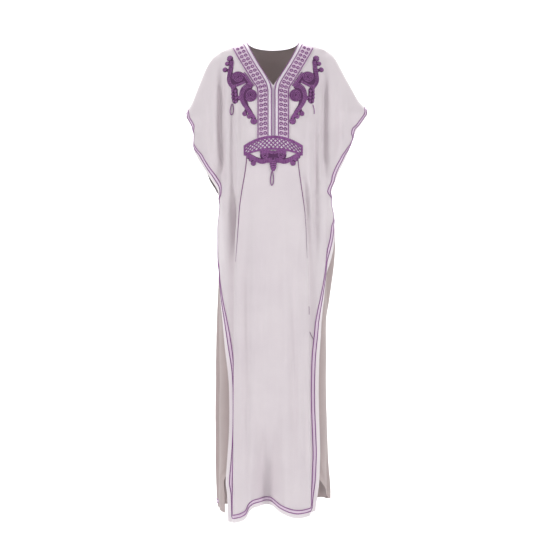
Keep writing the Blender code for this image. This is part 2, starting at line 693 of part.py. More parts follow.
def sheet_solid(name, low, high, cells, material, turned=False):
    """A closed solid between two layers of the same grid, over the marked cells."""
    used = np.zeros(low.shape[:2], bool)
    for i, j in zip(*np.nonzero(cells)):
        used[i : i + 2, j : j + 2] = True
    index = -np.ones(low.shape[:2], int)
    index[used] = np.arange(used.sum())
    count = int(used.sum())
    vertices = np.concatenate([low[used], high[used]])
    faces = []
    edges = {}
    for i, j in zip(*np.nonzero(cells)):
        a, b, c, d = index[i, j], index[i + 1, j], index[i + 1, j + 1], index[i, j + 1]
        for triangle in ((a, b, d), (b, c, d)) if turned else ((a, b, c), (a, c, d)):
            faces.append([v + count for v in triangle])
            faces.append(triangle[::-1])
            for k in range(3):
                edges[(triangle[k], triangle[(k + 1) % 3])] = True
    for first, second in edges:
        if (second, first) not in edges:
            faces.append([second + count, first + count, first])
            faces.append([second + count, first, second])
    return add_mesh(name, vertices, faces, material)


def add_mesh(name, vertices, faces, material):
    mesh = bpy.data.meshes.new(name)
    mesh.from_pydata([tuple(map(float, v)) for v in vertices], [], [tuple(map(int, f)) for f in faces])
    work = bmesh.new()
    work.from_mesh(mesh)
    if work.calc_volume(signed=True) < 0:
        bmesh.ops.reverse_faces(work, faces=work.faces)
    work.to_mesh(mesh)
    work.free()
    mesh.materials.append(material)
    mesh.shade_smooth()
    mesh.set_sharp_from_angle(angle=math.radians(SHARP_ANGLE))
    thing = bpy.data.objects.new(name, mesh)
    bpy.context.scene.collection.objects.link(thing)
    return thing


def make_material(name):
    material = bpy.data.materials.new(name)
    material.use_nodes = True
    shader = material.node_tree.nodes["Principled BSDF"]
    shader.inputs["Base Color"].default_value = (*COLOURS[name], 1.0)
    shader.inputs["Roughness"].default_value = 0.85
    shader.inputs["Metallic"].default_value = 0.0
    return material


def clear_scene():
    for thing in list(bpy.data.objects):
        bpy.data.objects.remove(thing, do_unlink=True)


def ribbon_cells(shape, first, hem=True):
    """The ribbon's cells down both side edges from the first row, and along the hem."""
    cells = np.zeros((shape[0] - 1, shape[1] - 1), bool)
    cells[1, first:-1] = True
    cells[-2, first:-1] = True
    if hem:
        cells[1:-1, -2] = True
    return cells


def add_ribbons(panel, points, out, material):
    low = points + out * (WALL / 2 + GAP)
    high = low + out * RIBBON
    turned = panel == "back"
    if panel == "front":
        sheet_solid("front_edge_ribbon", low, high, ribbon_cells(points.shape, 0), material, turned)
        return
    slit = ROWS_TOP + ROWS_MIDDLE + 2
    sheet_solid("back_hem_ribbon", low, high, ribbon_cells(points.shape, slit), material, turned)
    low = points + out * (WALL / 2 + SLEEVE_GAP)
    high = low + out * RIBBON
    for name, i in (("left", 1), ("right", len(points) - 3)):
        cells = np.zeros((points.shape[0] - 1, points.shape[1] - 1), bool)
        cells[i, : ROWS_TOP - 2] = True
        sheet_solid(f"back_sleeve_ribbon_{name}", low, high, cells, material, turned)


class Drape:
    """Lays trim on the front panel's outer faces, given its place as seen from the front."""

    def __init__(self, points, out):
        outer = points + out * WALL / 2
        faces = grid_triangles(*outer.shape[:2])
        self.tree = BVHTree.FromPolygons([tuple(p) for p in outer.reshape(-1, 3)], faces)

    def height(self, start, out):
        hit = self.tree.ray_cast(Vector(start + out * REACH), Vector(-out), 2 * REACH)[0]
        return None if hit is None else float(np.dot(np.array(hit) - start, out))

    def lift(self, x, z, spread):
        """Points just outside the cloth's faces, and the directions out of the cloth."""
        shape = np.shape(x)
        x, z = np.ravel(x), np.minimum(np.ravel(z), -0.0005)
        points, outs = np.zeros((len(x), 3)), np.zeros((len(x), 3))
        for side in (-1, 1):
            here = (x >= 0) == (side > 0)
            level = z[here]
            turn = turn_of(x[here], level, side)
            px, py = section_point(level, turn, side)
            points[here] = np.stack([px, py, level], axis=1)
            outs[here] = form_out(side, level, ARCS[side].arc_at(level, turn))
        for k, (start, out) in enumerate(zip(points, outs)):
            first = unit(np.cross(out, [0.0, 0.0, 1.0]))
            second = np.cross(out, first)
            heights = [self.height(start, out)]
            for step in range(SPREAD_STEPS):
                angle = 2 * math.pi * step / SPREAD_STEPS
                shifted = start + spread * (first * math.cos(angle) + second * math.sin(angle))
                heights.append(self.height(shifted, out))
            heights = [h for h in heights if h is not None and abs(h) < FURTHEST_FACE]
            points[k] = start + out * (max(heights, default=WALL / 2) + GAP)
        return points.reshape(*shape, 3), outs.reshape(*shape, 3)

    def clear(self, points, outs, triangles):
        """Raises points until the triangles between them are also clear of the cloth's faces."""
        flat, out = points.reshape(-1, 3), outs.reshape(-1, 3)
        for _ in range(CLEAR_ROUNDS):
            rise = np.zeros(len(flat))
            for triangle in triangles:
                corners, away = flat[list(triangle)], unit(out[list(triangle)].sum(axis=0))
                for weights in CLEAR_WEIGHTS:
                    height = self.height(np.dot(weights, corners), away)
                    if height is None or abs(height) > FURTHEST_FACE:
                        continue
                    for k in triangle:
                        rise[k] = max(rise[k], height + CLEAR_GAP)
            flat += out * rise[:, None]


def grid_triangles(columns, rows):
    """Triangles between the points of a grid, numbered down each column in turn."""
    faces = []
    for i in range(columns - 1):
        for j in range(rows - 1):
            a, b = i * rows + j, (i + 1) * rows + j
            faces += [(a, b, b + 1), (a, b + 1, a + 1)]
    return faces


def add_neck_band(drape, side, material):
    columns = {name: column_of(BAND_EDGES, name) for name in Band._fields[1:]}
    along = np.linspace(0, 1, BAND_ROWS)[None, :] ** BAND_CROWD
    part = np.linspace(0, 1, BAND_CELLS + 1)[:, None]
    x = columns["inner_x"](along) * (1 - part) + columns["outer_x"](along) * part
    z = columns["inner_z"](along) * (1 - part) + columns["outer_z"](along) * part
    z = np.maximum(z, waist_top(x) + PIECE_GAP)
    low, out = drape.lift(side * x, z, BAND_SPREAD)
    cells = np.ones((BAND_CELLS, BAND_ROWS - 1), bool)
    drape.clear(low, out, grid_triangles(*low.shape[:2]))
    name = "neck_band_left" if side < 0 else "neck_band_right"
    sheet_solid(name, low, low + out * BAND_THICKNESS, cells, material)


def waist_top(x):
    return WAIST_TOP - WAIST_FALL * (np.abs(x) / WAIST_HALF) ** 2


def waist_height(x):
    return WAIST_HEIGHT - (WAIST_HEIGHT - WAIST_END_HEIGHT) * (np.abs(x) / WAIST_HALF) ** 2


def add_waist_band(drape, material):
    x = np.linspace(-WAIST_HALF, WAIST_HALF, WAIST_CELLS + 1)[:, None]
    part = np.linspace(0, 1, WAIST_ROWS + 1)[None, :]
    z = waist_top(x) - waist_height(x) * part
    low, out = drape.lift(x + 0 * part, z, BAND_SPREAD)
    cells = np.ones((WAIST_CELLS, WAIST_ROWS), bool)
    drape.clear(low, out, grid_triangles(*low.shape[:2]))
    sheet_solid("waist_band", low, low + out * BAND_THICKNESS, cells, material)


def outline_distance(x, z, rounds, bars, side=0):
    """Distance to a scroll's outline, negative inside. With no side given, both halves are there."""
    x = np.abs(x) if side == 0 else x * side
    distance = np.full(np.shape(x), 1.0)
    for r in rounds:
        distance = np.minimum(distance, np.hypot(x - r.x, z - r.z) - r.radius)
    for bar in bars:
        dx, dz = bar.x2 - bar.x1, bar.z2 - bar.z1
        along = np.clip(((x - bar.x1) * dx + (z - bar.z1) * dz) / (dx * dx + dz * dz), 0, 1)
        distance = np.minimum(distance, np.hypot(x - bar.x1 - along * dx, z - bar.z1 - along * dz) - bar.half)
    return distance


def flat_scroll(rounds, bars, side):
    """A scroll's face as triangles in the front view: a grid of triangles cut along the outline."""
    reach = [(r.x, r.z, r.radius) for r in rounds]
    x_low = min(x - r for x, _, r in reach) - SCROLL_PITCH
    x_high = max(x + r for x, _, r in reach) + SCROLL_PITCH
    if side == 0:
        x_low = -x_high
    elif side < 0:
        x_low, x_high = -x_high, -x_low
    z_low = min(z - r for _, z, r in reach) - SCROLL_PITCH
    z_high = max(z + r for _, z, r in reach) + SCROLL_PITCH
    xs = np.arange(x_low, x_high + SCROLL_PITCH, SCROLL_PITCH)
    zs = np.arange(z_low, z_high + SCROLL_PITCH, SCROLL_PITCH)
    vertices, index, triangles = [], {}, []

    def vertex(key, x, z):
        if key not in index:
            index[key] = len(vertices)
            vertices.append((x, z))
        return index[key]

    def corner(key):
        return vertex((key,), xs[key[0]], zs[key[1]])

    def cut(inside, outside):
        first, second = value[inside], value[outside]
        t = min(max(first / (first - second), SHORTEST_CUT), 1 - SHORTEST_CUT)
        x = xs[inside[0]] * (1 - t) + xs[outside[0]] * t
        z = zs[inside[1]] * (1 - t) + zs[outside[1]] * t
        return vertex((inside, outside), x, z)

    value = outline_distance(xs[:, None], zs[None, :], rounds, bars, side)
    for i in range(len(xs) - 1):
        for j in range(len(zs) - 1):
            a, b, c, d = (i, j), (i + 1, j), (i + 1, j + 1), (i, j + 1)
            for corners in ((a, b, c), (a, c, d)):
                within = [value[k] < 0 for k in corners]
                if all(within):
                    triangles.append([corner(k) for k in corners])
                elif sum(within) == 1:
                    k = within.index(True)
                    p, q, r = corners[k], corners[(k + 1) % 3], corners[(k + 2) % 3]
                    triangles.append([corner(p), cut(p, q), cut(p, r)])
                elif sum(within) == 2:
                    k = within.index(False)
                    p, q, r = corners[k], corners[(k + 1) % 3], corners[(k + 2) % 3]
                    triangles.append([cut(q, p), corner(q), corner(r)])
                    triangles.append([cut(q, p), corner(r), cut(r, p)])
    return np.array(vertices), triangles


def add_scroll(name, drape, rounds, bars, side, material):
    flat, triangles = flat_scroll(rounds, bars, side)
    low, out = drape.lift(flat[:, 0], flat[:, 1], SCROLL_PITCH / 2)
    drape.clear(low, out, triangles)
    high = low + out * APPLIQUE
    count = len(flat)
    faces, edges = [], set()
    for a, b, c in triangles:
        faces += [[a + count, b + count, c + count], [c, b, a]]
        edges |= {(a, b), (b, c), (c, a)}
    for a, b in edges:
        if (b, a) not in edges:
            faces += [[b + count, a + count, a], [b + count, a, b]]
    add_mesh(name, np.concatenate([low, high]), faces, material)


def loop_route(loop, steps):
    """Points round a long, narrow loop, or down a strand where the loop has no width."""
    if loop.half == 0:
        t = np.linspace(0, 1, steps)
        bow = STRAND_BOW * np.sin(math.pi * t)
        return loop.x1 + (loop.x2 - loop.x1) * t + bow, loop.z1 + (loop.z2 - loop.z1) * t
    angle = np.arange(steps) / steps * 2 * math.pi
    t = (1 - np.cos(angle)) / 2
    swell = np.sin(angle) * (0.75 + 0.25 * t)
    return loop.x1 + (loop.x2 - loop.x1) * t + loop.half * swell, loop.z1 + (loop.z2 - loop.z1) * t


def add_cord(drape, loop, steps, material):
    """A round cord that lies on the cloth, as rings of points joined along its route."""
    closed = loop.half > 0
    x, z = loop_route(loop, steps)
    base, out = drape.lift(x, z, 2 * CORD_RADIUS)
    centre = base + out * CORD_RADIUS * 1.05
    ahead = np.roll(centre, -1, axis=0) - np.roll(centre, 1, axis=0)
    if not closed:
        ahead[0], ahead[-1] = centre[1] - centre[0], centre[-1] - centre[-2]
    ahead = unit(ahead)
    across = unit(np.cross(ahead, out))
    up = np.cross(across, ahead)
    angle = np.arange(CORD_SIDES) / CORD_SIDES * 2 * math.pi
    ring = centre[:, None] + CORD_RADIUS * (
        np.cos(angle)[None, :, None] * across[:, None] + np.sin(angle)[None, :, None] * up[:, None]
    )
    faces = []
    for i in range(steps if closed else steps - 1):
        for k in range(CORD_SIDES):
            a, b = i * CORD_SIDES + k, i * CORD_SIDES + (k + 1) % CORD_SIDES
            c, d = (a + CORD_SIDES) % (steps * CORD_SIDES), (b + CORD_SIDES) % (steps * CORD_SIDES)
            faces += [[a, b, d], [a, d, c]]
    if not closed:
        last = (steps - 1) * CORD_SIDES
        for k in range(1, CORD_SIDES - 1):
            faces += [[0, k + 1, k], [last, last + k, last + k + 1]]
    add_mesh(loop.name, ring.reshape(-1, 3), faces, material)


def main():
    clear_scene()
    materials = {name: make_material(name) for name in COLOURS}
    for panel in ("back", "front"):
        points, out = panel_grid(panel)
        cells = np.ones((len(points) - 1, points.shape[1] - 1), bool)
        half = out * WALL / 2
        sheet_solid(f"{panel}_panel", points - half, points + half, cells, materials["cloth"], panel == "back")
        add_ribbons(panel, points, out, materials["ribbon"])
    drape = Drape(points, out)
    for side in (-1, 1):
        add_neck_band(drape, side, materials["ribbon"])
    add_waist_band(drape, materials["ribbon"])
    add_scroll("chest_scroll_left", drape, CHEST_ROUNDS, CHEST_BARS, -1, materials["cord"])
    add_scroll("chest_scroll_right", drape, CHEST_ROUNDS, CHEST_BARS, 1, materials["cord"])
    add_scroll("waist_scroll", drape, WAIST_ROUNDS, WAIST_BARS, 0, materials["cord"])
    for loop in LOOPS:
        add_cord(drape, loop, LOOP_STEPS, materials["cord"])
    add_cord(drape, STRAND, STRAND_STEPS, materials["cord"])


main()
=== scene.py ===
"""A long, loose kaftan of pale crepe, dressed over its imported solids.

The cloth is laid as fine shells over the worn form that the solids have, with its small creases. Ribbon
runs round the sleeves, the sides and the hem. The neck and waist bands, rings, lattice, corded scrolls,
knots and loops lie on the front cloth. Metres, +Z up, and the front faces -Y.
"""

import math
from collections import namedtuple

import bpy
import numpy as np
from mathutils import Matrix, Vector
from mathutils.bvhtree import BVHTree


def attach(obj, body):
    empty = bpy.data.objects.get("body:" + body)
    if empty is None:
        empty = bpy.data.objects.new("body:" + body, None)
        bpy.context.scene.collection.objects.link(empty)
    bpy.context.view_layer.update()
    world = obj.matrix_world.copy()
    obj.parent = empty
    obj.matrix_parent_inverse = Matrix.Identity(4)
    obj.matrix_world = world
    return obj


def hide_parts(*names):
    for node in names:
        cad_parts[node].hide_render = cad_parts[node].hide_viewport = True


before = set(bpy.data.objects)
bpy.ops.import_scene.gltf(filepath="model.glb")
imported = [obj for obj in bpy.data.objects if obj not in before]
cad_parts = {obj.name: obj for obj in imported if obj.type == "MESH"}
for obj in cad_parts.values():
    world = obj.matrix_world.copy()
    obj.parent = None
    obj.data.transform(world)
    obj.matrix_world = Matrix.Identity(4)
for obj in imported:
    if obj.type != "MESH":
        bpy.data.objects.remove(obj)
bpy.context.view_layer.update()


def table(kind, *rows):
    """Rows of a table as named tuples of one kind."""
    return [kind(*row) for row in rows]


# Angles in degrees from which an edge stays sharp
SHARP_TRIM, SHARP_CORD = 50, 60

# Cloth and its grid
SHEET = 0.0010
GAP = 0.0003
WALL = 0.0015
FRONT_INNER, BACK_INNER = 84, 62
ROWS_TOP, ROWS_MIDDLE, ROWS_SLIT = 84, 64, 16
EDGE_STEPS = (1.5, 1.0, 0.5, 0.0)

# Neck
NECK_HALF = 0.0775
V_DEPTH = 0.144
V_CURVE = 1.25
BACK_NECK_DROP = 0.018

# Side edges and hem: a plain margin, then a ribbon of the same width
MARGIN = 0.0125
STRIP = 2 * MARGIN

# Levels, from the neck point down
JOINT_LEVEL = -0.490
SLIT_LEVEL = -1.262
HEM_LEVEL = -1.4

# How the threads spread over a panel
NECK_SHARE = 0.34
CROWD, CROWD_AT, CROWD_WIDTH = 1.6, 0.56, 0.10
ROWS_CROWD = 0.18
WIDTH_SETTLE, EDGE_RATE = 0.12, 0.41
NEAR_EDGE = 0.72
LAP_EASE, LAP_SPARE = 0.03, 0.0036
SLOPE_STEP = 0.002

# Curve sampling for arc lengths
LEVELS, TURNS = 260, 721
TOP_LEVELS, TOP_HEIGHT, TOP_STEP, FORM_FOOT = 40, 0.03, 0.001, -1.45
HALVINGS = 24
LAY_REACH, TOP_KEEP = 0.02, 0.0006
RIDGE_POINTS, RIDGE_CROWD = 400, 1.6
CROWD_POINTS = 200

# Each level's section joins the body's curve with the flatter one of the sleeves beside it. The sleeve's
# end is near 1 where front and back meet as two flat sheets, and small where the cloth turns in a round.
Section = namedtuple("Section", "height front back power sleeve sleeve_power sleeve_end")
SECTIONS = table(
    Section,
    (0.000, 0.0010, 0.0010, 2.1, 0.0000, 3.0, 0.34),
    (-0.006, 0.0200, 0.0240, 2.1, 0.0010, 3.0, 0.34),
    (-0.018, 0.0370, 0.0480, 2.1, 0.0060, 3.0, 0.34),
    (-0.050, 0.0610, 0.0760, 2.1, 0.0340, 3.0, 0.36),
    (-0.100, 0.0850, 0.0960, 2.1, 0.0530, 2.8, 0.48),
    (-0.150, 0.1030, 0.1060, 2.2, 0.0640, 2.6, 0.46),
    (-0.205, 0.1200, 0.1088, 2.2, 0.0700, 2.5, 0.60),
    (-0.245, 0.1260, 0.1090, 2.2, 0.0700, 2.6, 0.60),
    (-0.275, 0.1290, 0.1075, 2.3, 0.0690, 3.0, 0.50),
    (-0.310, 0.1300, 0.1060, 2.3, 0.0680, 3.8, 0.34),
    (-0.345, 0.1290, 0.1040, 2.3, 0.0660, 4.6, 0.25),
    (-0.400, 0.1260, 0.1010, 2.4, 0.0660, 5.0, 0.20),
    (-0.450, 0.1230, 0.1000, 2.4, 0.0640, 4.0, 0.25),
    (-0.520, 0.1210, 0.1010, 2.4, 0.0600, 3.0, 0.33),
    (-0.650, 0.1220, 0.1080, 2.4, 0.0500, 2.6, 0.38),
    (-0.850, 0.1250, 0.1120, 2.4, 0.0300, 2.4, 0.42),
    (-1.100, 0.1290, 0.1140, 2.4, 0.0300, 2.4, 0.42),
    (-1.450, 0.1340, 0.1160, 2.3, 0.0300, 2.4, 0.42),
)
BODY_HALF = 0.160
BLEND_POWER = 5
SIDE_POWER = 4
FOLD_FADE = 0.10
OUT_POWER = 6
LAP_OFFSET, LAP_WIDTH = 1.6, 1.3

# Half widths: the ridge from the shoulder down to the sleeve's tip, then the outermost side
Width = namedtuple("Width", "height half")
LEFT_TIP, RIGHT_TIP = -0.225, -0.215
LEFT_WIDTHS = table(
    Width,
    (0.000, NECK_HALF), (-0.006, 0.090), (-0.018, 0.128), (-0.030, 0.155), (-0.042, 0.173), (-0.054, 0.185),
    (-0.078, 0.200), (-0.126, 0.220), (-0.174, 0.239), (LEFT_TIP, 0.2600), (-0.236, 0.2548),
    (-0.248, 0.2478), (-0.262, 0.2405), (-0.278, 0.2355), (-0.300, 0.2358), (-0.324, 0.2380),
    (-0.351, 0.233), (-0.402, 0.202), (-0.453, 0.168), (-0.490, 0.158), (-0.560, 0.165), (-0.700, 0.163),
    (-0.900, 0.170), (-1.250, 0.173), (-1.350, 0.169), (-1.450, 0.160),
)
RIGHT_WIDTHS = table(
    Width,
    (0.000, NECK_HALF), (-0.006, 0.092), (-0.018, 0.140), (-0.030, 0.166), (-0.042, 0.180), (-0.054, 0.189),
    (-0.078, 0.202), (-0.126, 0.228), (-0.174, 0.255), (RIGHT_TIP, 0.2835), (-0.228, 0.2770),
    (-0.243, 0.2670), (-0.258, 0.2580), (-0.270, 0.2500), (-0.285, 0.2405), (-0.300, 0.2340),
    (-0.324, 0.2285), (-0.345, 0.2230), (-0.399, 0.196), (-0.444, 0.178), (-0.480, 0.173), (-0.520, 0.180),
    (-0.590, 0.187), (-0.654, 0.184), (-0.774, 0.168), (-0.840, 0.159), (-1.074, 0.160), (-1.250, 0.166),
    (-1.360, 0.173), (-1.450, 0.168),
)

# The front edge's distance before the outermost side, and the opening between front and back edges
Edge = namedtuple("Edge", "height before opening")
LEFT_EDGE = table(
    Edge,
    (LEFT_TIP, 0.000, 0.001), (-0.238, 0.000, 0.010), (-0.252, -0.001, 0.020), (-0.267, -0.014, 0.015),
    (-0.284, -0.024, 0.013), (-0.300, -0.018, 0.022), (-0.314, 0.008, 0.053), (-0.329, 0.027, 0.077),
    (-0.347, 0.043, 0.100), (-0.375, 0.051, 0.104), (-0.402, 0.0515, 0.098), (-0.423, 0.047, 0.080),
    (-0.442, 0.041, 0.060), (-0.458, 0.036, 0.044), (-0.474, 0.004, 0.004), (JOINT_LEVEL, -0.026, -STRIP),
    (-0.560, -0.034, -STRIP), (-0.640, -0.022, -STRIP), (-0.680, 0.000, -STRIP), (-0.764, 0.035, -STRIP),
    (-0.842, 0.060, -STRIP), (-0.930, 0.0765, -STRIP), (-0.984, 0.0855, -STRIP), (-1.040, 0.0905, -STRIP),
    (-1.150, 0.0925, -STRIP), (SLIT_LEVEL, 0.0900, -STRIP), (-1.305, 0.0885, 0.010),
    (-1.345, 0.0960, 0.010), (-1.450, 0.1020, 0.010),
)
RIGHT_EDGE = table(
    Edge,
    (RIGHT_TIP, 0.000, 0.001), (-0.232, 0.001, 0.018), (-0.250, 0.003, 0.044), (-0.262, 0.012, 0.058),
    (-0.276, 0.008, 0.050), (-0.291, -0.010, 0.036), (-0.304, -0.004, 0.046), (-0.316, 0.012, 0.064),
    (-0.330, 0.026, 0.082), (-0.345, 0.0366, 0.096), (-0.374, 0.0405, 0.096), (-0.403, 0.039, 0.086),
    (-0.425, 0.031, 0.066), (-0.450, 0.030, 0.046), (-0.464, 0.012, 0.016), (-0.470, -0.004, 0.006),
    (JOINT_LEVEL, -0.020, -STRIP), (-0.522, -0.016, -STRIP), (-0.550, 0.009, -STRIP),
    (-0.596, 0.0175, -STRIP), (-0.677, 0.0333, -STRIP), (-0.744, 0.0520, -STRIP), (-0.813, 0.0660, -STRIP),
    (-0.880, 0.0730, -STRIP), (-0.951, 0.0800, -STRIP), (-1.060, 0.0835, -STRIP), (-1.219, 0.0800, -STRIP),
    (SLIT_LEVEL, 0.0820, -STRIP), (-1.305, 0.0860, 0.006), (-1.345, 0.0930, 0.060), (-1.380, 0.0975, 0.094),
    (-1.450, 0.1000, 0.104),
)

# A fold's line runs through three points; its two flanks have their own widths, towards the centre
# line and away from it. Rise is how far it stands out of the cloth, and is negative in a trough. Lean
# is how far the cloth on the centre's side laps over the trough.
Fold = namedtuple(
    "Fold", "top_x top mid_x mid low_x low inner outer rise fade_in fade_out lean", defaults=[0]
)
FRONT_FOLDS = table(
    Fold,
    (-0.150, -0.04, -0.153, -0.25, -0.150, -0.46, 0.015, 0.014, -0.015, 0.14, 0.08),
    (-0.190, -0.10, -0.187, -0.25, -0.178, -0.42, 0.018, 0.018, 0.009, 0.12, 0.08),
    (-0.118, -0.13, -0.118, -0.35, -0.112, -0.68, 0.009, 0.009, -0.014, 0.16, 0.18),
    (-0.097, -0.18, -0.097, -0.26, -0.098, -0.36, 0.009, 0.008, -0.008, 0.08, 0.08),
    (-0.137, -0.40, -0.138, -0.55, -0.138, -0.76, 0.012, 0.012, 0.010, 0.12, 0.18),
    (-0.088, -0.36, -0.111, -0.64, -0.116, -1.46, 0.008, 0.022, -0.021, 0.16, 0.00, 0.012),
    (0.084, -0.36, 0.103, -0.68, 0.112, -1.46, 0.008, 0.022, -0.020, 0.16, 0.00, 0.008),
    (0.156, -0.04, 0.152, -0.22, 0.146, -0.44, 0.018, 0.016, -0.015, 0.14, 0.10),
    (0.196, -0.10, 0.197, -0.25, 0.186, -0.38, 0.018, 0.018, 0.010, 0.12, 0.08),
    (0.124, -0.18, 0.125, -0.40, 0.130, -0.72, 0.010, 0.009, -0.016, 0.16, 0.18),
    (0.106, -0.20, 0.108, -0.42, 0.116, -0.66, 0.010, 0.010, 0.007, 0.14, 0.14),
    (0.010, -0.52, 0.009, -0.95, 0.006, -1.40, 0.018, 0.022, -0.009, 0.30, 0.20),
    (-0.078, -0.50, -0.076, -0.90, -0.072, -1.28, 0.013, 0.015, -0.008, 0.25, 0.30),
    (0.056, -0.70, 0.058, -1.00, 0.060, -1.40, 0.015, 0.015, -0.007, 0.30, 0.20),
    (-0.014, -1.02, -0.016, -1.25, -0.020, -1.46, 0.034, 0.030, -0.072, 0.44, 0.00),
    (-0.118, -1.10, -0.122, -1.28, -0.126, -1.46, 0.024, 0.030, 0.018, 0.34, 0.00),
)
BACK_FOLDS = table(
    Fold,
    (-0.150, -0.05, -0.154, -0.25, -0.150, -0.46, 0.016, 0.014, -0.008, 0.14, 0.10),
    (0.154, -0.05, 0.156, -0.25, 0.150, -0.46, 0.016, 0.014, -0.008, 0.14, 0.10),
    (-0.104, -0.20, -0.112, -0.70, -0.118, -1.46, 0.016, 0.012, -0.015, 0.30, 0.00),
    (-0.062, -0.34, -0.064, -0.80, -0.070, -1.46, 0.016, 0.020, 0.012, 0.40, 0.00),
    (-0.022, -0.24, -0.024, -0.75, -0.028, -1.46, 0.013, 0.016, -0.014, 0.36, 0.00),
    (0.030, -0.40, 0.030, -0.85, 0.026, -1.46, 0.018, 0.018, 0.010, 0.40, 0.00),
    (0.066, -0.22, 0.070, -0.70, 0.076, -1.46, 0.014, 0.012, -0.016, 0.30, 0.00),
    (0.112, -0.36, 0.114, -0.80, 0.122, -1.46, 0.016, 0.016, 0.011, 0.40, 0.00),
)

# The hem's height across each panel
Hem = namedtuple("Hem", "x height")
FRONT_HEM = table(
    Hem,
    (-0.200, -1.400), (-0.147, -1.4085), (-0.128, -1.4225), (-0.105, -1.4195), (-0.080, -1.4085),
    (-0.068, -1.3860), (-0.054, -1.3770), (-0.010, -1.3755), (0.0226, -1.3915), (0.052, -1.4030),
    (0.072, -1.4065), (0.105, -1.4020), (0.118, -1.3950), (0.200, -1.3850),
)
BACK_HEM = table(
    Hem,
    (-0.200, -1.386), (-0.150, -1.396), (-0.060, -1.404), (0.020, -1.400), (0.110, -1.396), (0.145, -1.376),
    (0.168, -1.370), (0.200, -1.362),
)

# Neck band: its inner and outer edges at the shoulder, down the V and down the centre
Band = namedtuple("Band", "along inner_x inner_z outer_x outer_z")
BAND_SHOULDER, BAND_TURN = 0.1215, -0.155
BAND_OUTER = 0.0446
BAND_EDGES = [
    Band(0.00, 0.0785, -0.0020, BAND_SHOULDER, -0.0190),
    Band(0.12, 0.0663, -0.0310, 0.1070, -0.0480),
    Band(0.26, 0.0447, -0.0730, 0.0825, -0.0920),
    Band(0.40, 0.0215, -0.1120, 0.0610, -0.1290),
    Band(0.50, 0.0040, -0.1440, BAND_OUTER + 0.0015, BAND_TURN),
    Band(0.55, 0.0006, -0.1600, BAND_OUTER, -0.1700),
    Band(1.00, 0.0006, -0.2935, BAND_OUTER, -0.3010),
]

# Waist band: an arc that is high in the middle
WAIST_HALF = 0.0840
WAIST_TOP, WAIST_FALL = -0.2950, 0.0270
WAIST_HEIGHT, WAIST_END_HEIGHT = 0.0380, 0.0270

# Scrolls: solid round spirals and knots, joined by bars of cord. They stand beside the centre line.
Round = namedtuple("Round", "x z radius")
Bar = namedtuple("Bar", "x1 z1 x2 z2 half")
CHEST_ROUNDS = table(
    Round,
    (0.1272, -0.0565, 0.0088), (0.1350, -0.0722, 0.0068), (0.1422, -0.0899, 0.0074),
    (0.1030, -0.1200, 0.0215), (0.0660, -0.1740, 0.0190), (0.0836, -0.2270, 0.0078),
    (0.0696, -0.2363, 0.0070), (0.0563, -0.2510, 0.0098),
)
CHEST_BARS = table(
    Bar,
    (0.1272, -0.0580, 0.1225, -0.0650, 0.0062), (0.1225, -0.0650, 0.1240, -0.0869, 0.0062),
    (0.1240, -0.0869, 0.1265, -0.1071, 0.0068), (0.1265, -0.1071, 0.1265, -0.1256, 0.0072),
    (0.1265, -0.1256, 0.1190, -0.1400, 0.0072), (0.1190, -0.1400, 0.1120, -0.1560, 0.0074),
    (0.1350, -0.0722, 0.1250, -0.0760, 0.0046), (0.1422, -0.0899, 0.1290, -0.0940, 0.0046),
    (0.0930, -0.1100, 0.0750, -0.1320, 0.0056), (0.0750, -0.1320, 0.0680, -0.1480, 0.0066),
    (0.0680, -0.1480, 0.0850, -0.1580, 0.0080), (0.0850, -0.1580, 0.0885, -0.1800, 0.0088),
    (0.0885, -0.1800, 0.0800, -0.2030, 0.0080), (0.0800, -0.2030, 0.0670, -0.2240, 0.0066),
    (0.0670, -0.2240, 0.0563, -0.2420, 0.0056), (0.1125, -0.1560, 0.1112, -0.1870, 0.0090),
    (0.1080, -0.1810, 0.0920, -0.1810, 0.0056), (0.0836, -0.2270, 0.0765, -0.2120, 0.0046),
    (0.0696, -0.2363, 0.0665, -0.2240, 0.0046),
)
WAIST_ROUNDS = table(
    Round,
    (0.0243, -0.3502, 0.0140), (0.0000, -0.3465, 0.0100), (0.0000, -0.3730, 0.0102),
    (0.0724, -0.3540, 0.0062), (0.0650, -0.3620, 0.0064), (0.0572, -0.3730, 0.0078),
)
WAIST_BARS = table(
    Bar,
    (0.0000, -0.3465, 0.0243, -0.3450, 0.0086), (0.0000, -0.3600, 0.0163, -0.3640, 0.0084),
    (0.0000, -0.3860, 0.0000, -0.3600, 0.0084), (0.0163, -0.3640, 0.0319, -0.3680, 0.0070),
    (0.0319, -0.3680, 0.0475, -0.3620, 0.0064), (0.0475, -0.3620, 0.0620, -0.3535, 0.0054),
    (0.0620, -0.3535, 0.0724, -0.3540, 0.0048), (0.0572, -0.3730, 0.0500, -0.3640, 0.0046),
)

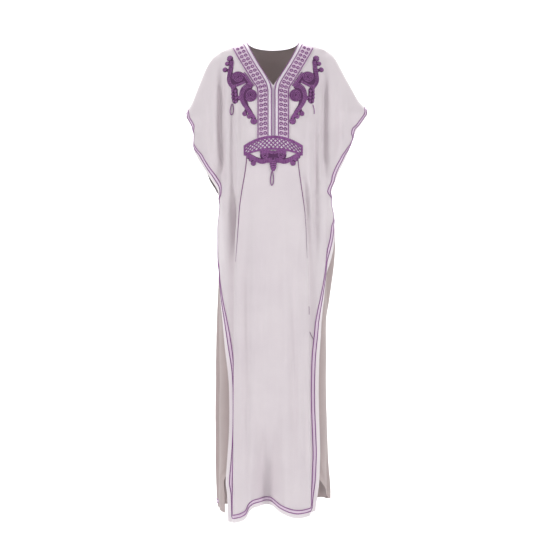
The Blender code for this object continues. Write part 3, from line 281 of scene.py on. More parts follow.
# Small creases that the cloth alone has: each runs from point to point, with its half width and rise
Crease = namedtuple("Crease", "x1 z1 x2 z2 width rise")
FRONT_CREASES = table(
    Crease,
    (-0.153, -0.050, -0.151, -0.480, 0.0085, -0.0028), (-0.138, -0.090, -0.134, -0.470, 0.0070, 0.0034),
    (-0.118, -0.110, -0.113, -0.470, 0.0060, -0.0034), (-0.176, -0.060, -0.164, -0.450, 0.0085, 0.0048),
    (-0.205, -0.090, -0.176, -0.400, 0.0090, -0.0044), (-0.222, -0.190, -0.180, -0.430, 0.0080, 0.0036),
    (-0.246, -0.240, -0.188, -0.420, 0.0075, -0.0030), (-0.190, -0.330, -0.160, -0.450, 0.0065, -0.0030),
    (-0.166, -0.320, -0.150, -0.540, 0.0065, 0.0034), (0.149, -0.050, 0.151, -0.480, 0.0085, -0.0028),
    (0.127, -0.100, 0.122, -0.460, 0.0060, -0.0032), (0.138, -0.090, 0.136, -0.470, 0.0070, 0.0034),
    (0.169, -0.070, 0.163, -0.430, 0.0080, 0.0048), (0.196, -0.080, 0.176, -0.400, 0.0095, -0.0046),
    (0.220, -0.150, 0.186, -0.430, 0.0080, 0.0038), (0.246, -0.220, 0.192, -0.420, 0.0075, -0.0030),
    (0.176, -0.310, 0.160, -0.520, 0.0065, 0.0034), (-0.052, -0.430, -0.058, -0.980, 0.0100, 0.0030),
    (-0.034, -0.520, -0.040, -1.240, 0.0120, -0.0034), (0.006, -0.700, 0.010, -1.390, 0.0120, 0.0034),
    (0.034, -0.460, 0.038, -1.040, 0.0110, 0.0030), (0.056, -0.620, 0.062, -1.395, 0.0085, -0.0036),
    (0.074, -0.480, 0.080, -1.380, 0.0085, 0.0030), (-0.078, -0.520, -0.082, -1.390, 0.0080, -0.0034),
    (-0.097, -0.560, -0.100, -1.390, 0.0070, 0.0030), (-0.062, -1.020, -0.066, -1.400, 0.0100, 0.0040),
    (-0.022, -1.080, -0.026, -1.400, 0.0090, -0.0036), (0.030, -1.080, 0.034, -1.395, 0.0110, 0.0038),
    (0.092, -1.000, 0.096, -1.400, 0.0075, -0.0030), (-0.150, -0.560, -0.152, -1.200, 0.0080, -0.0034),
    (0.138, -0.560, 0.140, -1.180, 0.0080, -0.0034), (-0.086, -0.170, -0.094, -0.330, 0.0080, -0.0026),
    (0.094, -0.180, 0.100, -0.330, 0.0080, -0.0026),
)
BACK_CREASES = table(
    Crease,
    (-0.206, -0.100, -0.156, -0.400, 0.011, 0.0036), (-0.236, -0.220, -0.166, -0.440, 0.009, -0.0030),
    (-0.170, -0.140, -0.110, -0.460, 0.010, -0.0034), (0.208, -0.100, 0.160, -0.400, 0.011, 0.0036),
    (0.244, -0.210, 0.172, -0.440, 0.009, -0.0030), (0.172, -0.130, 0.116, -0.470, 0.010, -0.0034),
    (-0.070, -0.060, -0.040, -0.300, 0.014, 0.0030), (0.074, -0.060, 0.046, -0.330, 0.014, 0.0030),
    (-0.086, -0.420, -0.092, -1.300, 0.009, -0.0026), (0.004, -0.360, 0.000, -1.200, 0.011, -0.0030),
    (0.048, -0.500, 0.052, -1.390, 0.010, 0.0026), (0.092, -0.520, 0.098, -1.380, 0.009, -0.0026),
    (-0.134, -0.560, -0.140, -1.380, 0.009, 0.0026), (-0.040, -0.900, -0.046, -1.400, 0.010, 0.0030),
)
CREASES = {"front": FRONT_CREASES, "back": BACK_CREASES}
CREASE_END = 0.28
CREASE_KEEP_OFF, CREASE_EASE = 0.030, 0.045
RIPPLE = 0.0005
Ripple = namedtuple("Ripple", "across down sway slow start")
RIPPLES = table(Ripple, (61, 7, 2.0, 11, 0), (97, -13, 1.7, 17, 1))
CREASE_WANDER, WANDER_ALONG, WANDER_START = 0.25, 9, 40
TOP_CALM = 0.05

# Ribbon and its lines, in margins from the free edge
MARGIN_FADE = 0.7
RIBBON = 0.0007
LINE_RADIUS = 0.00135
LINES = (1.84, 1.08)
RIBBON_TOP = SHEET / 2 + GAP + RIBBON
RIBBON_END = len(EDGE_STEPS)
BACK_HEM_INSET, SLEEVE_TRIM_ABOVE = 14, 10
STITCH_LINES = (1.66, 1.26)
STITCH_PITCH, STITCH_LONG, STITCH_WIDE = 0.0046, 0.0028, 0.0007
STITCH_ABOVE, STITCH_BELOW = 0.6, 0.4

# Neck band: shares of its width at which its strips and cords lie, down the V and down the centre
Strip = namedtuple("Strip", "v front")
PLACKET_EDGE = Strip(0.035, 0.115)
SATIN = (Strip(0.070, 0.150), Strip(0.210, 0.290))
RING_TRACKS = (Strip(0.47, 0.51), Strip(0.76, 0.78))
BAND_CORDS = [
    (Strip(0.020, 0.100), 0.0011),
    (Strip(0.255, 0.330), 0.0012),
    (Strip(0.985, 0.985), 0.0016),
]
RING_RADIUS, RING_CORD = 0.0039, 0.00150
RING_SIDES, RING_STEPS, RING_PLACE = 6, 16, 0.0015
RING_START = (0.0, 0.2, 1.0)
RING_PITCH = 0.0142
BAND_THICKNESS = 0.0010
BAND_FINE_CELLS, BAND_FINE_ROWS = 24, 120
BAND_START, BAND_POINTS = 0.018, 160
SATIN_CELLS, SATIN_THICKNESS = 4, 0.0008
PLACKET_CELLS, PLACKET_THICKNESS = 3, 0.0004
STRIP_SINK = 0.0002
BAND_CLEAR = 0.0010
BAND_WIDTH, BAND_LENGTH = 0.045, 0.33
BAND_TURN_AT, BAND_TURN_OVER = 0.40, 0.13
RING_SPAN, RING_SAMPLES = (0.030, 0.985), 400

# Waist band
LATTICE_PITCH, LATTICE_RADIUS = 0.0120, 0.00175
LATTICE_SPARE, LATTICE_POINTS, LATTICE_SHORTEST = 4, 30, 4
LATTICE_LIFT, LATTICE_WEAVE, LATTICE_CROSSINGS = 0.55, 0.35, 7
WAIST_GRID = (84, 20)
BORDER_CORDS = (0.0, 0.0027, 0.0052)
END_CORDS = (0.0, 0.0028)
BORDER_RADIUS = 0.0016
BORDER_POINTS, END_POINTS, END_PAST = 120, 20, 0.06

# Cords
TWIST_PITCH, TWIST_DEPTH = 0.0075, 0.16
CORD_STEP = 0.0013
PLY_SIDES = 10
CORD_END = 0.35
TINY = 1e-9
LINE_CORD = {"step": 0.0032, "sides": 8}
BAND_CORD = {"step": 0.0022, "sides": 8}
LATTICE_CORD = {"step": 0.0016, "sides": 8}
BINDING = {"radius": 0.0013, "step": 0.003, "sides": 8, "twist": 0.04}
PIPING = {"step": 0.002, "sides": 8, "twist": 0.05}

# How high the middle of a cord lies over what it is sewn on, in its own radii
SEAT = {"line": 0.35, "band": 0.5, "ring": 0.6, "border": 0.4, "end": 0.5, "coil": 0.7, "braid": 0.55,
        "knot": 0.6, "roll": 0.5, "loop": 1.1, "seam": 0.3}

# Scrolls
SCROLL_CORD = 0.0015
SCROLL_BASE = 0.0010
SCROLL_FINE_PITCH = 0.0026
CUT_NEAR = 0.12
COIL_POINTS = 40
ROUTE_STEP = 0.0015
KNOT_FINE, KNOT_SIZE, KNOT_POINTS = 60, 0.006, 20
KNOT_WIND, KNOT_LEAST, KNOT_TURN = 2.1, 1.2, 40
KNOT_CORE, KNOT_RISE, KNOT_STEEP = 0.0003, 0.0016, 1.5
ROLL_RADIUS, ROLL_RISE, ROLL_BOW, ROLL_POINTS = 0.0026, 0.0022, 0.0008, 16

# Camera, floor and lights
EYE = (-0.0195, -4.0, -0.6735)
SIGHT = 22.62
FLOOR = -1.7000


def smooth_table(keys, values):
    """A smooth curve through the rows that adds no bump between them, as a function of the key."""
    order = np.argsort(keys)
    xs = np.asarray(keys, float)[order]
    ys = np.asarray(values, float)[order]
    step = np.diff(xs)
    slope = np.diff(ys) / step
    rate = np.zeros(len(xs))
    same = slope[1:] * slope[:-1] > 0
    before, after = step[:-1], step[1:]
    first, second = 2 * after + before, after + 2 * before
    with np.errstate(divide="ignore", invalid="ignore"):
        mean = (first + second) / (first / slope[:-1] + second / slope[1:])
    rate[1:-1] = np.where(same, mean, 0.0)
    rate[0], rate[-1] = slope[0], slope[-1]

    def value(x):
        x = np.clip(x, xs[0], xs[-1])
        i = np.clip(np.searchsorted(xs, x) - 1, 0, len(step) - 1)
        t = (x - xs[i]) / step[i]
        start = (1 + 2 * t) * (1 - t) ** 2 * ys[i] + t * (1 - t) ** 2 * step[i] * rate[i]
        end = t * t * (3 - 2 * t) * ys[i + 1] + t * t * (t - 1) * step[i] * rate[i + 1]
        return start + end

    return value


def column_of(table, name):
    return smooth_table([row[0] for row in table], [getattr(row, name) for row in table])


def depth_of(name):
    """Depths are smoothed as squares, so that the cloth turns over the shoulder in a round."""
    squares = smooth_table([s.height for s in SECTIONS], [getattr(s, name) ** 2 for s in SECTIONS])
    return lambda z: np.sqrt(np.maximum(squares(z), 1e-8))


FRONT_DEPTH = depth_of("front")
BACK_DEPTH = depth_of("back")
POWER = column_of(SECTIONS, "power")
SLEEVE = column_of(SECTIONS, "sleeve")
SLEEVE_POWER = column_of(SECTIONS, "sleeve_power")
SLEEVE_END = column_of(SECTIONS, "sleeve_end")
HALF = {-1: column_of(LEFT_WIDTHS, "half"), 1: column_of(RIGHT_WIDTHS, "half")}
BEFORE = {-1: column_of(LEFT_EDGE, "before"), 1: column_of(RIGHT_EDGE, "before")}
OPENING = {-1: column_of(LEFT_EDGE, "opening"), 1: column_of(RIGHT_EDGE, "opening")}
TIP = {-1: LEFT_TIP, 1: RIGHT_TIP}
HEM = {"front": column_of(FRONT_HEM, "height"), "back": column_of(BACK_HEM, "height")}


def ease(t):
    t = np.clip(t, 0.0, 1.0)
    return t * t * (3 - 2 * t)


def fold_shift(folds, x, z):
    """How far the folds stand out of the cloth at a point of a panel, and how far they lap sideways."""
    rise = np.zeros(np.broadcast(x, z).shape)
    lap = np.zeros(rise.shape)
    for f in folds:
        line = smooth_table([f.top, f.mid, f.low], [f.top_x, f.mid_x, f.low_x])(z)
        away = (x - line) * np.sign(line)
        width = np.where(away < 0, f.inner, f.outer)
        start = ease((f.top - z) / f.fade_in)
        end = ease((z - f.low) / f.fade_out) if f.fade_out > 0 else 1.0
        rise = rise + f.rise * start * end * np.exp(-((away / width) ** 2))
        if f.lean:
            beside = (away + LAP_OFFSET * f.inner) / (LAP_WIDTH * f.inner)
            lap = lap + f.lean * np.sign(line) * start * end * np.exp(-(beside**2))
    return rise, lap


def turn_of(x, z, side):
    """The turn at which the front of the form lies a distance from the centre line."""
    across = np.clip(np.abs(x) / HALF[side](z), 0, 1)
    return (1 - (1 - across) ** (1 / SIDE_POWER)) / 2


def section_point(z, turn, side):
    """A point of the worn form: turn is 0 at the centre front, 0.5 at the side, 1 at the centre back."""
    front = turn <= 0.5
    across = 1 - (1 - np.where(front, 2 * turn, 2 - 2 * turn)) ** SIDE_POWER
    half, power, sleeve_power = HALF[side](z), POWER(z), SLEEVE_POWER(z)
    facing = np.where(front, -1.0, 1.0)
    depth = np.where(front, FRONT_DEPTH(z), BACK_DEPTH(z))
    body_across = np.minimum(across * half / np.minimum(half, BODY_HALF), 1.0)
    body = depth * (1 - body_across**power) ** (1 / power)
    sleeve = SLEEVE(z) * (1 - across**sleeve_power) ** SLEEVE_END(z)
    x = side * half * across
    y = facing * (body**BLEND_POWER + sleeve**BLEND_POWER) ** (1 / BLEND_POWER)
    out_x = side * across**OUT_POWER
    out_y = facing * (1 - across**OUT_POWER)
    front_rise, front_lap = fold_shift(FRONT_FOLDS, x, z)
    back_rise, back_lap = fold_shift(BACK_FOLDS, x, z)
    fade = ease((1 - across) / FOLD_FADE)
    rise = np.where(front, front_rise, back_rise) * fade / np.hypot(out_x, out_y)
    lap = np.where(front, front_lap, back_lap) * fade
    return x + out_x * rise + lap, y + out_y * rise


class ArcTable:
    """Lengths round the sections of one side, from the centre front, and the turn at any length."""

    def __init__(self, side):
        self.side = side
        top = -np.linspace(0, TOP_HEIGHT, TOP_LEVELS)
        self.z = np.concatenate([top, np.linspace(-TOP_HEIGHT - TOP_STEP, FORM_FOOT, LEVELS)])
        self.turn = np.linspace(0, 1, TURNS)
        x, y = section_point(self.z[:, None], self.turn[None, :], side)
        steps = np.hypot(np.diff(x, axis=1), np.diff(y, axis=1))
        self.arc = np.concatenate([np.zeros((len(self.z), 1)), np.cumsum(steps, axis=1)], axis=1)

    def level(self, z):
        place = np.interp(-z, -self.z, np.arange(len(self.z)))
        low = np.clip(place.astype(int), 0, len(self.z) - 2)
        return low, place - low

    def arc_at(self, z, turn):
        low, part = self.level(z)
        column = turn * (TURNS - 1)
        left = np.clip(column.astype(int), 0, TURNS - 2)
        along = column - left
        a = self.arc[low, left] * (1 - along) + self.arc[low, left + 1] * along
        b = self.arc[low + 1, left] * (1 - along) + self.arc[low + 1, left + 1] * along
        return a * (1 - part) + b * part

    def turn_at(self, z, arc):
        low, high = np.zeros(np.shape(arc)), np.ones(np.shape(arc))
        for _ in range(HALVINGS):
            middle = (low + high) / 2
            short = self.arc_at(z, middle) < arc
            low, high = np.where(short, middle, low), np.where(short, high, middle)
        return (low + high) / 2


ARCS = {side: ArcTable(side) for side in (-1, 1)}


def side_arc(side, z):
    """The arc length from the centre front to the outermost side."""
    return ARCS[side].arc_at(z, np.full(np.shape(z), 0.5))


def whole_arc(side, z):
    """The arc length from the centre front round to the centre back."""
    return ARCS[side].arc_at(z, np.ones(np.shape(z)))


def edge_distance(panel, side, z):
    """How far round the form the panel's side edge lies from the panel's own centre line."""
    below = z <= TIP[side]
    before = np.where(below, BEFORE[side](z), 0.0)
    opening = np.where(below, OPENING[side](z), 0.0)
    if panel == "front":
        return side_arc(side, z) - before
    return whole_arc(side, z) - side_arc(side, z) + before - opening


def ridge_points(side):
    """Heights down the ridge from the neck point to the sleeve's tip, and the lengths along it."""
    z = np.linspace(0, 1, RIDGE_POINTS) ** RIDGE_CROWD * TIP[side]
    x = HALF[side](z)
    length = np.concatenate([[0], np.cumsum(np.hypot(np.diff(x), np.diff(z)))])
    return length, z


def neck_edge(panel, share):
    """The neckline at a share of the way from the centre to the neck point."""
    if panel == "front":
        return NECK_HALF * (1 - (1 - share) ** V_CURVE), -V_DEPTH * (1 - share)
    return NECK_HALF * math.sin(share * math.pi / 2), -BACK_NECK_DROP * math.cos(share * math.pi / 2)


Column = namedtuple("Column", "top start share from_edge")


def column_shares(panel, count):
    """Shares of the width at which the columns run, closer together at the front's lapped folds."""
    if panel == "back":
        return np.linspace(0, 1, count)
    share = np.linspace(0, 1, CROWD_POINTS)
    crowd = 1 + CROWD * np.exp(-(((share - CROWD_AT) / CROWD_WIDTH) ** 2))
    total = np.concatenate([[0], np.cumsum((crowd[1:] + crowd[:-1]) / 2)])
    return np.interp(np.linspace(0, total[-1], count), total, share)


def panel_columns(panel, side):
    """The threads of one half of a panel, from its centre line to its side edge."""
    inner = FRONT_INNER if panel == "front" else BACK_INNER
    neck = round(inner * NECK_SHARE)
    length, ridge_z = ridge_points(side)
    columns = []
    for i, share in enumerate(column_shares(panel, inner)):
        if i < neck:
            x, height = neck_edge(panel, i / neck)
            z = np.array([height])
            turn = turn_of(x, z, side)
            start = ARCS[side].arc_at(z, turn if panel == "front" else 1 - turn)
        else:
            along = (i - neck) / (inner - 1 - neck) * (length[-1] - STRIP)
            z = np.array([np.interp(along, length, ridge_z)])
            start = side_arc(side, z)
        if panel == "back":
            start = whole_arc(side, z) - start
        columns.append(Column(z[0], start[0], share, None))
    for step in EDGE_STEPS:
        z = np.interp(length[-1] - step * MARGIN, length, ridge_z)
        columns.append(Column(z, 0.0, 1.0, step * MARGIN))
    return columns


def column_heights(top, hem):
    """Heights down a column: close together at the top, level rows to the slit, then on to the hem."""
    t = np.arange(ROWS_TOP) / ROWS_TOP
    upper = top + (JOINT_LEVEL - top) * (t * t * (1 + ROWS_CROWD) / (t + ROWS_CROWD))
    middle = np.linspace(JOINT_LEVEL, SLIT_LEVEL, ROWS_MIDDLE, endpoint=False)
    lower = np.linspace(SLIT_LEVEL, hem + STRIP, ROWS_SLIT, endpoint=False)
    return np.concatenate([upper, middle, lower, [hem + STRIP], hem + MARGIN * np.array(EDGE_STEPS)])


def eased_in(distance, fall):
    """A column leaves the ridge at one slope, whatever the distance from the edge that it settles at."""
    return distance * (1 - np.exp(-fall / (EDGE_RATE * np.maximum(distance, 1e-6))))


def column_distances(panel, side, z, column):
    """Where a column runs round the form: from its start it eases over to its share of the width."""
    edge = edge_distance(panel, side, z)
    fall = column.top - z
    if column.from_edge is not None:
        return edge - eased_in(column.from_edge, fall)
    low = (edge - STRIP) * column.share
    free = column.start + (low - column.start) * (1 - np.exp(-fall / WIDTH_SETTLE))
    near = edge - eased_in(edge - low, fall)
    near_edge = ease((column.share - NEAR_EDGE) / (1 - NEAR_EDGE))
    return free * (1 - near_edge) + near * near_edge


def tuck(panel, column, z):
    """How far the back's edge lies inside the form, where the front's edge is lapped over it."""
    if panel == "front" or (column.from_edge is None and column.share < 1):
        return np.zeros(np.shape(z))
    joined = ease((JOINT_LEVEL + 2 * LAP_EASE - z) / LAP_EASE)
    joined = joined * ease((z - SLIT_LEVEL + 2 * LAP_EASE) / LAP_EASE)
    ends = np.minimum(np.abs(z - JOINT_LEVEL), np.abs(z - SLIT_LEVEL))
    return joined * (WALL + GAP + LAP_SPARE * (1 - ease(ends / LAP_EASE)))


def form_point(panel, side, z, distance):
    """A point of the form at a distance round it from the panel's centre line."""
    arc = distance if panel == "front" else whole_arc(side, z) - distance
    x, y = section_point(z, ARCS[side].turn_at(z, arc), side)
    return np.stack([x, y, z], axis=1)


def form_out(side, z, arc):
    """The direction out of the cloth at an arc length from the centre front."""
    high, low = np.minimum(z + SLOPE_STEP, -1e-4), z - SLOPE_STEP
    far = arc + SLOPE_STEP
    near = np.maximum(arc - SLOPE_STEP, 0.0)
    upper = form_point("front", side, high, np.minimum(arc, whole_arc(side, high)))
    down = form_point("front", side, low, arc) - upper
    beyond = form_point("front", side, z, np.minimum(far, whole_arc(side, z)))
    around = beyond - form_point("front", side, z, near)
    return side * unit(np.cross(down, around))


def half_panel(panel, side):
    """Points down each column of one half of a panel, the directions out of it, and its tucks."""
    points, outs, around = [], [], []
    for column in panel_columns(panel, side):
        z = column_heights(column.top, HEM_LEVEL)
        for _ in range(3):
            x = form_point(panel, side, z, column_distances(panel, side, z, column))[-1, 0]
            z = column_heights(column.top, float(HEM[panel](x)))
        distance = column_distances(panel, side, z, column)
        arc = distance if panel == "front" else whole_arc(side, z) - distance
        out = form_out(side, z, arc)
        line = form_point(panel, side, z, distance) - out * tuck(panel, column, z)[:, None]
        points.append(line)
        outs.append(out)
        around.append(side * distance)
    return np.array(points), np.array(outs), np.array(around)


def unit(vectors):
    return vectors / np.maximum(np.linalg.norm(vectors, axis=-1, keepdims=True), 1e-12)


def panel_grid(panel):
    """Mid-surface points of a whole panel from edge to edge, and the directions out of the cloth."""
    halves = {side: half_panel(panel, side) for side in (-1, 1)}
    points = np.concatenate([halves[-1][0][::-1], halves[1][0][1:]])
    out = np.concatenate([halves[-1][1][::-1], halves[1][1][1:]])
    around = np.concatenate([halves[-1][2][::-1], halves[1][2][1:]])
    inner = FRONT_INNER if panel == "front" else BACK_INNER
    middle = len(halves[-1][0]) - 1
    ridge = np.abs(np.arange(len(points)) - middle) >= round(inner * NECK_SHARE)
    out[ridge, 0, 1] = 0.0
    out = unit(out)
    points[ridge, 0, 1] = -GAP / 2 if panel == "front" else GAP / 2
    return points, out, around


def cloth_creases(panel, x, z, room):
    """How far the small creases and the slight ripple stand out of the cloth; they fade at its edges."""
    rise = np.zeros(x.shape)
    for c in CREASES[panel]:
        dx, dz = c.x2 - c.x1, c.z2 - c.z1
        length = math.hypot(dx, dz)
        along = ((x - c.x1) * dx + (z - c.z1) * dz) / length**2
        across = ((x - c.x1) * dz - (z - c.z1) * dx) / length
        ends = ease(along / CREASE_END) * ease((1 - along) / CREASE_END)
        wander = CREASE_WANDER * c.width * np.sin(WANDER_ALONG * along + WANDER_START * c.x1)
        rise += c.rise * ends * np.exp(-(((across + wander) / c.width) ** 2))
    for w in RIPPLES:
        rise += RIPPLE * np.sin(w.across * x + w.down * z + w.sway * np.sin(w.slow * z + w.start))
    calm = ease(-z / TOP_CALM) * ease((room - CREASE_KEEP_OFF) / CREASE_EASE)
    return rise * calm


class Cloth:
    """One panel as a fine grid: its points, the directions out of it, and how far round it they lie."""

    def __init__(self, panel):
        self.panel = panel
        points, out, round_form = panel_grid(panel)
        halves = np.abs(round_form)
        room = np.empty(halves.shape)
        middle = len(points) // 2
        for side in (-1, 1):
            columns = slice(0, middle + 1) if side < 0 else slice(middle, None)
            z = points[columns, :, 2]
            room[columns] = edge_distance(panel, side, z) - halves[columns]
        rise = cloth_creases(panel, points[..., 0], points[..., 2], room)
        rise[:, 0] = 0.0
        self.points = points + out * rise[..., None]
        self.out = out
        self.around = round_form
        self.room = room

    def cells(self):
        return np.ones((self.points.shape[0] - 1, self.points.shape[1] - 1), bool)

    def at(self, i, j):
        """Points and directions at fractional columns and rows."""
        i, j = np.broadcast_arrays(np.asarray(i, float), np.asarray(j, float))
        low_i = np.clip(i.astype(int), 0, self.points.shape[0] - 2)
        low_j = np.clip(j.astype(int), 0, self.points.shape[1] - 2)
        a, b = (i - low_i)[..., None], (j - low_j)[..., None]
        found = []
        for grid in (self.points, self.out):
            upper = grid[low_i, low_j] * (1 - a) + grid[low_i + 1, low_j] * a
            lower = grid[low_i, low_j + 1] * (1 - a) + grid[low_i + 1, low_j + 1] * a
            found.append(upper * (1 - b) + lower * b)
        return found[0], unit(found[1])

    def edge_index(self, step):
        """The fractional index, counted back from the last column or row, of a line beside the edge."""
        return np.interp(-step, [-2.0, *(-s for s in EDGE_STEPS)], np.arange(-len(EDGE_STEPS), 1))

    def hem_route(self, step, first=0.0):
        """Indices down one side edge from a row, along the hem and up the other side."""
        columns, rows = self.points.shape[0] - 1, self.points.shape[1] - 1
        inset = -self.edge_index(step)
        low = rows - inset
        down = np.concatenate([np.arange(first, math.floor(low)), [low]])
        along = np.arange(math.ceil(inset) + (inset == int(inset)), columns - inset)
        i = np.concatenate([np.full(len(down), inset), along, np.full(len(down), columns - inset)])
        j = np.concatenate([down, np.full(len(along), low), down[::-1]])
        return i, j


class Book:
    """Gathers the faces of one sewn piece, with a place on each face for its pattern."""

    def __init__(self):
        self.vertices, self.faces, self.places, self.slots = [], [], [], []
        self.count = 0

    def add(self, vertices, faces, places, slot=0):
        self.vertices.append(np.asarray(vertices, float).reshape(-1, 3))
        self.faces += [[v + self.count for v in face] for face in faces]
        self.places += list(places)
        self.slots += [slot] * len(faces)
        self.count += len(self.vertices[-1])

    def make(self, name, materials, sharp):
        """One piece of all that was added, smooth but for edges past the sharp angle."""
        mesh = bpy.data.meshes.new(name)
        vertices = np.concatenate(self.vertices)
        mesh.from_pydata(vertices.tolist(), [], [tuple(map(int, face)) for face in self.faces])
        pattern = mesh.uv_layers.new(name="pattern")
        flat = np.concatenate([np.asarray(place, float).reshape(-1, 2) for place in self.places])
        pattern.uv.foreach_set("vector", flat.astype(np.float32).ravel())
        for material in materials:
            mesh.materials.append(material)
        mesh.polygons.foreach_set("material_index", np.array(self.slots, np.int32))
        mesh.shade_smooth()
        mesh.set_sharp_from_angle(angle=math.radians(sharp))
        mesh.validate()
        thing = bpy.data.objects.new(name, mesh)
        bpy.context.scene.collection.objects.link(thing)
        return thing


def add_shell(book, low, high, cells, places, turned, slot=0):
    """A closed thin shell between two layers of the same grid, over the marked cells."""
    used = np.zeros(low.shape[:2], bool)
    used[:-1, :-1] |= cells
    used[1:, :-1] |= cells
    used[:-1, 1:] |= cells
    used[1:, 1:] |= cells
    index = np.full(low.shape[:2], -1)
    index[used] = np.arange(used.sum())
    count = int(used.sum())
    i, j = np.nonzero(cells)
    corners = np.stack([index[i, j], index[i + 1, j], index[i + 1, j + 1], index[i, j + 1]], axis=1)
    spots = np.stack([places[i, j], places[i + 1, j], places[i + 1, j + 1], places[i, j + 1]], axis=1)
    if turned:
        corners, spots = corners[:, ::-1], spots[:, ::-1]
    faces = [*(corners + count).tolist(), *corners[:, ::-1].tolist()]
    around = [*spots, *spots[:, ::-1]]
    padded = np.pad(cells, 1)
    for step_i, step_j, a, b in ((0, -1, 0, 1), (1, 0, 1, 2), (0, 1, 2, 3), (-1, 0, 3, 0)):
        if turned:
            a, b = 3 - b, 3 - a
        rim = ~padded[i + 1 + step_i, j + 1 + step_j]
        for corner, spot in zip(corners[rim], spots[rim]):
            first, second = corner[a], corner[b]
            faces.append([first, second, second + count, first + count])
            around.append([spot[a], spot[b], spot[b], spot[a]])
    book.add(np.concatenate([low[used], high[used]]), faces, around, slot)


def spaced(points, outs, step):
    """The same route with its points evenly spaced."""
    length = np.concatenate([[0], np.cumsum(np.linalg.norm(np.diff(points, axis=0), axis=1))])
    count = max(int(round(length[-1] / step)), 3)
    at = np.linspace(0, length[-1], count + 1)
    line = np.stack([np.interp(at, length, points[:, k]) for k in range(3)], axis=1)
    away = unit(np.stack([np.interp(at, length, outs[:, k]) for k in range(3)], axis=1))
    return line, away, at


def add_cord(book, points, outs, radius, step=CORD_STEP, sides=PLY_SIDES, twist=TWIST_DEPTH, ends=CORD_END,
             slot=0):
    """A round two-ply cord along a route, its ends rounded off. The radius can be a function of length."""
    line, out, at = spaced(points, outs, step)
    count = len(line)
    ahead = np.roll(line, -1, axis=0) - np.roll(line, 1, axis=0)
    ahead[0], ahead[-1] = line[1] - line[0], line[-1] - line[-2]
    ahead = unit(ahead)
    across = unit(np.cross(ahead, out))
    up = np.cross(across, ahead)
    size = np.full(count, radius) if np.isscalar(radius) else radius(at / max(at[-1], TINY))
    size[0] *= ends
    size[-1] *= ends
    angle = np.arange(sides) / sides * 2 * math.pi
    ply = np.abs(np.cos(angle[None, :] - math.pi * at[:, None] / TWIST_PITCH))
    girth = size[:, None] * (1 - twist + twist * ply)
    ring = line[:, None] + girth[..., None] * (
        np.cos(angle)[None, :, None] * across[:, None] + np.sin(angle)[None, :, None] * up[:, None]
    )
    i, k = np.meshgrid(np.arange(count - 1), np.arange(sides), indexing="ij")
    after, beside = i + 1, (k + 1) % sides
    faces = np.stack([i * sides + k, i * sides + beside, after * sides + beside, after * sides + k], axis=-1)
    places = np.stack([
        np.stack([k / sides, at[i]], axis=-1),
        np.stack([(k + 1) / sides, at[i]], axis=-1),
        np.stack([(k + 1) / sides, at[after]], axis=-1),
        np.stack([k / sides, at[after]], axis=-1),
    ], axis=-2)
    faces = faces.reshape(-1, 4)[:, ::-1].tolist()
    places = [place[::-1] for place in places.reshape(-1, 4, 2)]
    faces.append(list(range(sides)))
    places.append([[0.5, 0.0]] * sides)
    faces.append(list(range((count - 1) * sides, count * sides))[::-1])
    places.append([[0.5, at[-1]]] * sides)
    book.add(ring.reshape(-1, 3), faces, places, slot)


class Face:
    """The front cloth's outer face, on which trim is laid by its place as seen from the front."""

    def __init__(self, outer):
        columns, rows = outer.shape[:2]
        i, j = np.meshgrid(np.arange(columns - 1), np.arange(rows - 1), indexing="ij")
        a = (i * rows + j).ravel()
        b = ((i + 1) * rows + j).ravel()
        faces = np.stack([a, b, b + 1, a + 1], axis=1)
        self.tree = BVHTree.FromPolygons(outer.reshape(-1, 3).tolist(), faces.tolist())

    def lay(self, x, z, lift=0.0):
        """Points at a height above the cloth, and the directions out of it."""
        x, z, lift = np.broadcast_arrays(x, np.minimum(z, -TOP_KEEP), lift)
        shape = x.shape
        x, z, lift = x.ravel(), z.ravel(), lift.ravel()
        points, outs = np.zeros((len(x), 3)), np.zeros((len(x), 3))
        for side in (-1, 1):
            here = (x >= 0) == (side > 0)
            if not here.any():
                continue
            turn = turn_of(x[here], z[here], side)
            px, py = section_point(z[here], turn, side)
            points[here] = np.stack([px, py, z[here]], axis=1)
            outs[here] = form_out(side, z[here], ARCS[side].arc_at(z[here], turn))
        for k in range(len(points)):
            start, out = Vector(points[k]), Vector(outs[k])
            hit = self.tree.ray_cast(start + out * LAY_REACH, -out, 2 * LAY_REACH)[0]
            height = (hit - start).dot(out) if hit is not None else SHEET / 2
            points[k] += outs[k] * (height + lift[k])
        return points.reshape(*shape, 3), outs.reshape(*shape, 3)


def add_cloth(cloth, name, material):
    """A panel's thin shell, with how near each point is to the free edges, for the pale margin."""
    book = Book()
    half = cloth.out * SHEET / 2
    places = np.stack([cloth.around, cloth.points[..., 2]], axis=-1)
    add_shell(book, cloth.points - half, cloth.points + half, cloth.cells(), places, cloth.panel == "back")
    thing = book.make(name, [material], sharp=SHARP_CORD)
    tint = thing.data.attributes.new("margin", "FLOAT", "POINT")
    below = np.clip(cloth.points[..., 2] - cloth.points[:, -1:, 2], 0, None)
    value = 1 - ease((np.minimum(cloth.room, below) - MARGIN) / (MARGIN_FADE * MARGIN))
    tint.data.foreach_set("value", np.tile(value.ravel(), 2).astype(np.float32))
    return thing


def lay_ribbon(book, cloth, cells, from_edge, along):
    """Pale ribbon over the marked cells of a cloth's grid, with its place across and along."""
    low = cloth.points + cloth.out * (SHEET / 2 + GAP)
    places = np.stack([from_edge * MARGIN / 2 * np.ones(along.shape), along], axis=-1)
    add_shell(book, low, low + cloth.out * RIBBON, cells, places, cloth.panel == "back")


def add_line(book, points, outs):
    """A purple line of cord on a ribbon."""
    add_cord(book, points + outs * LINE_RADIUS * SEAT["line"], outs, LINE_RADIUS, slot=1, **LINE_CORD)


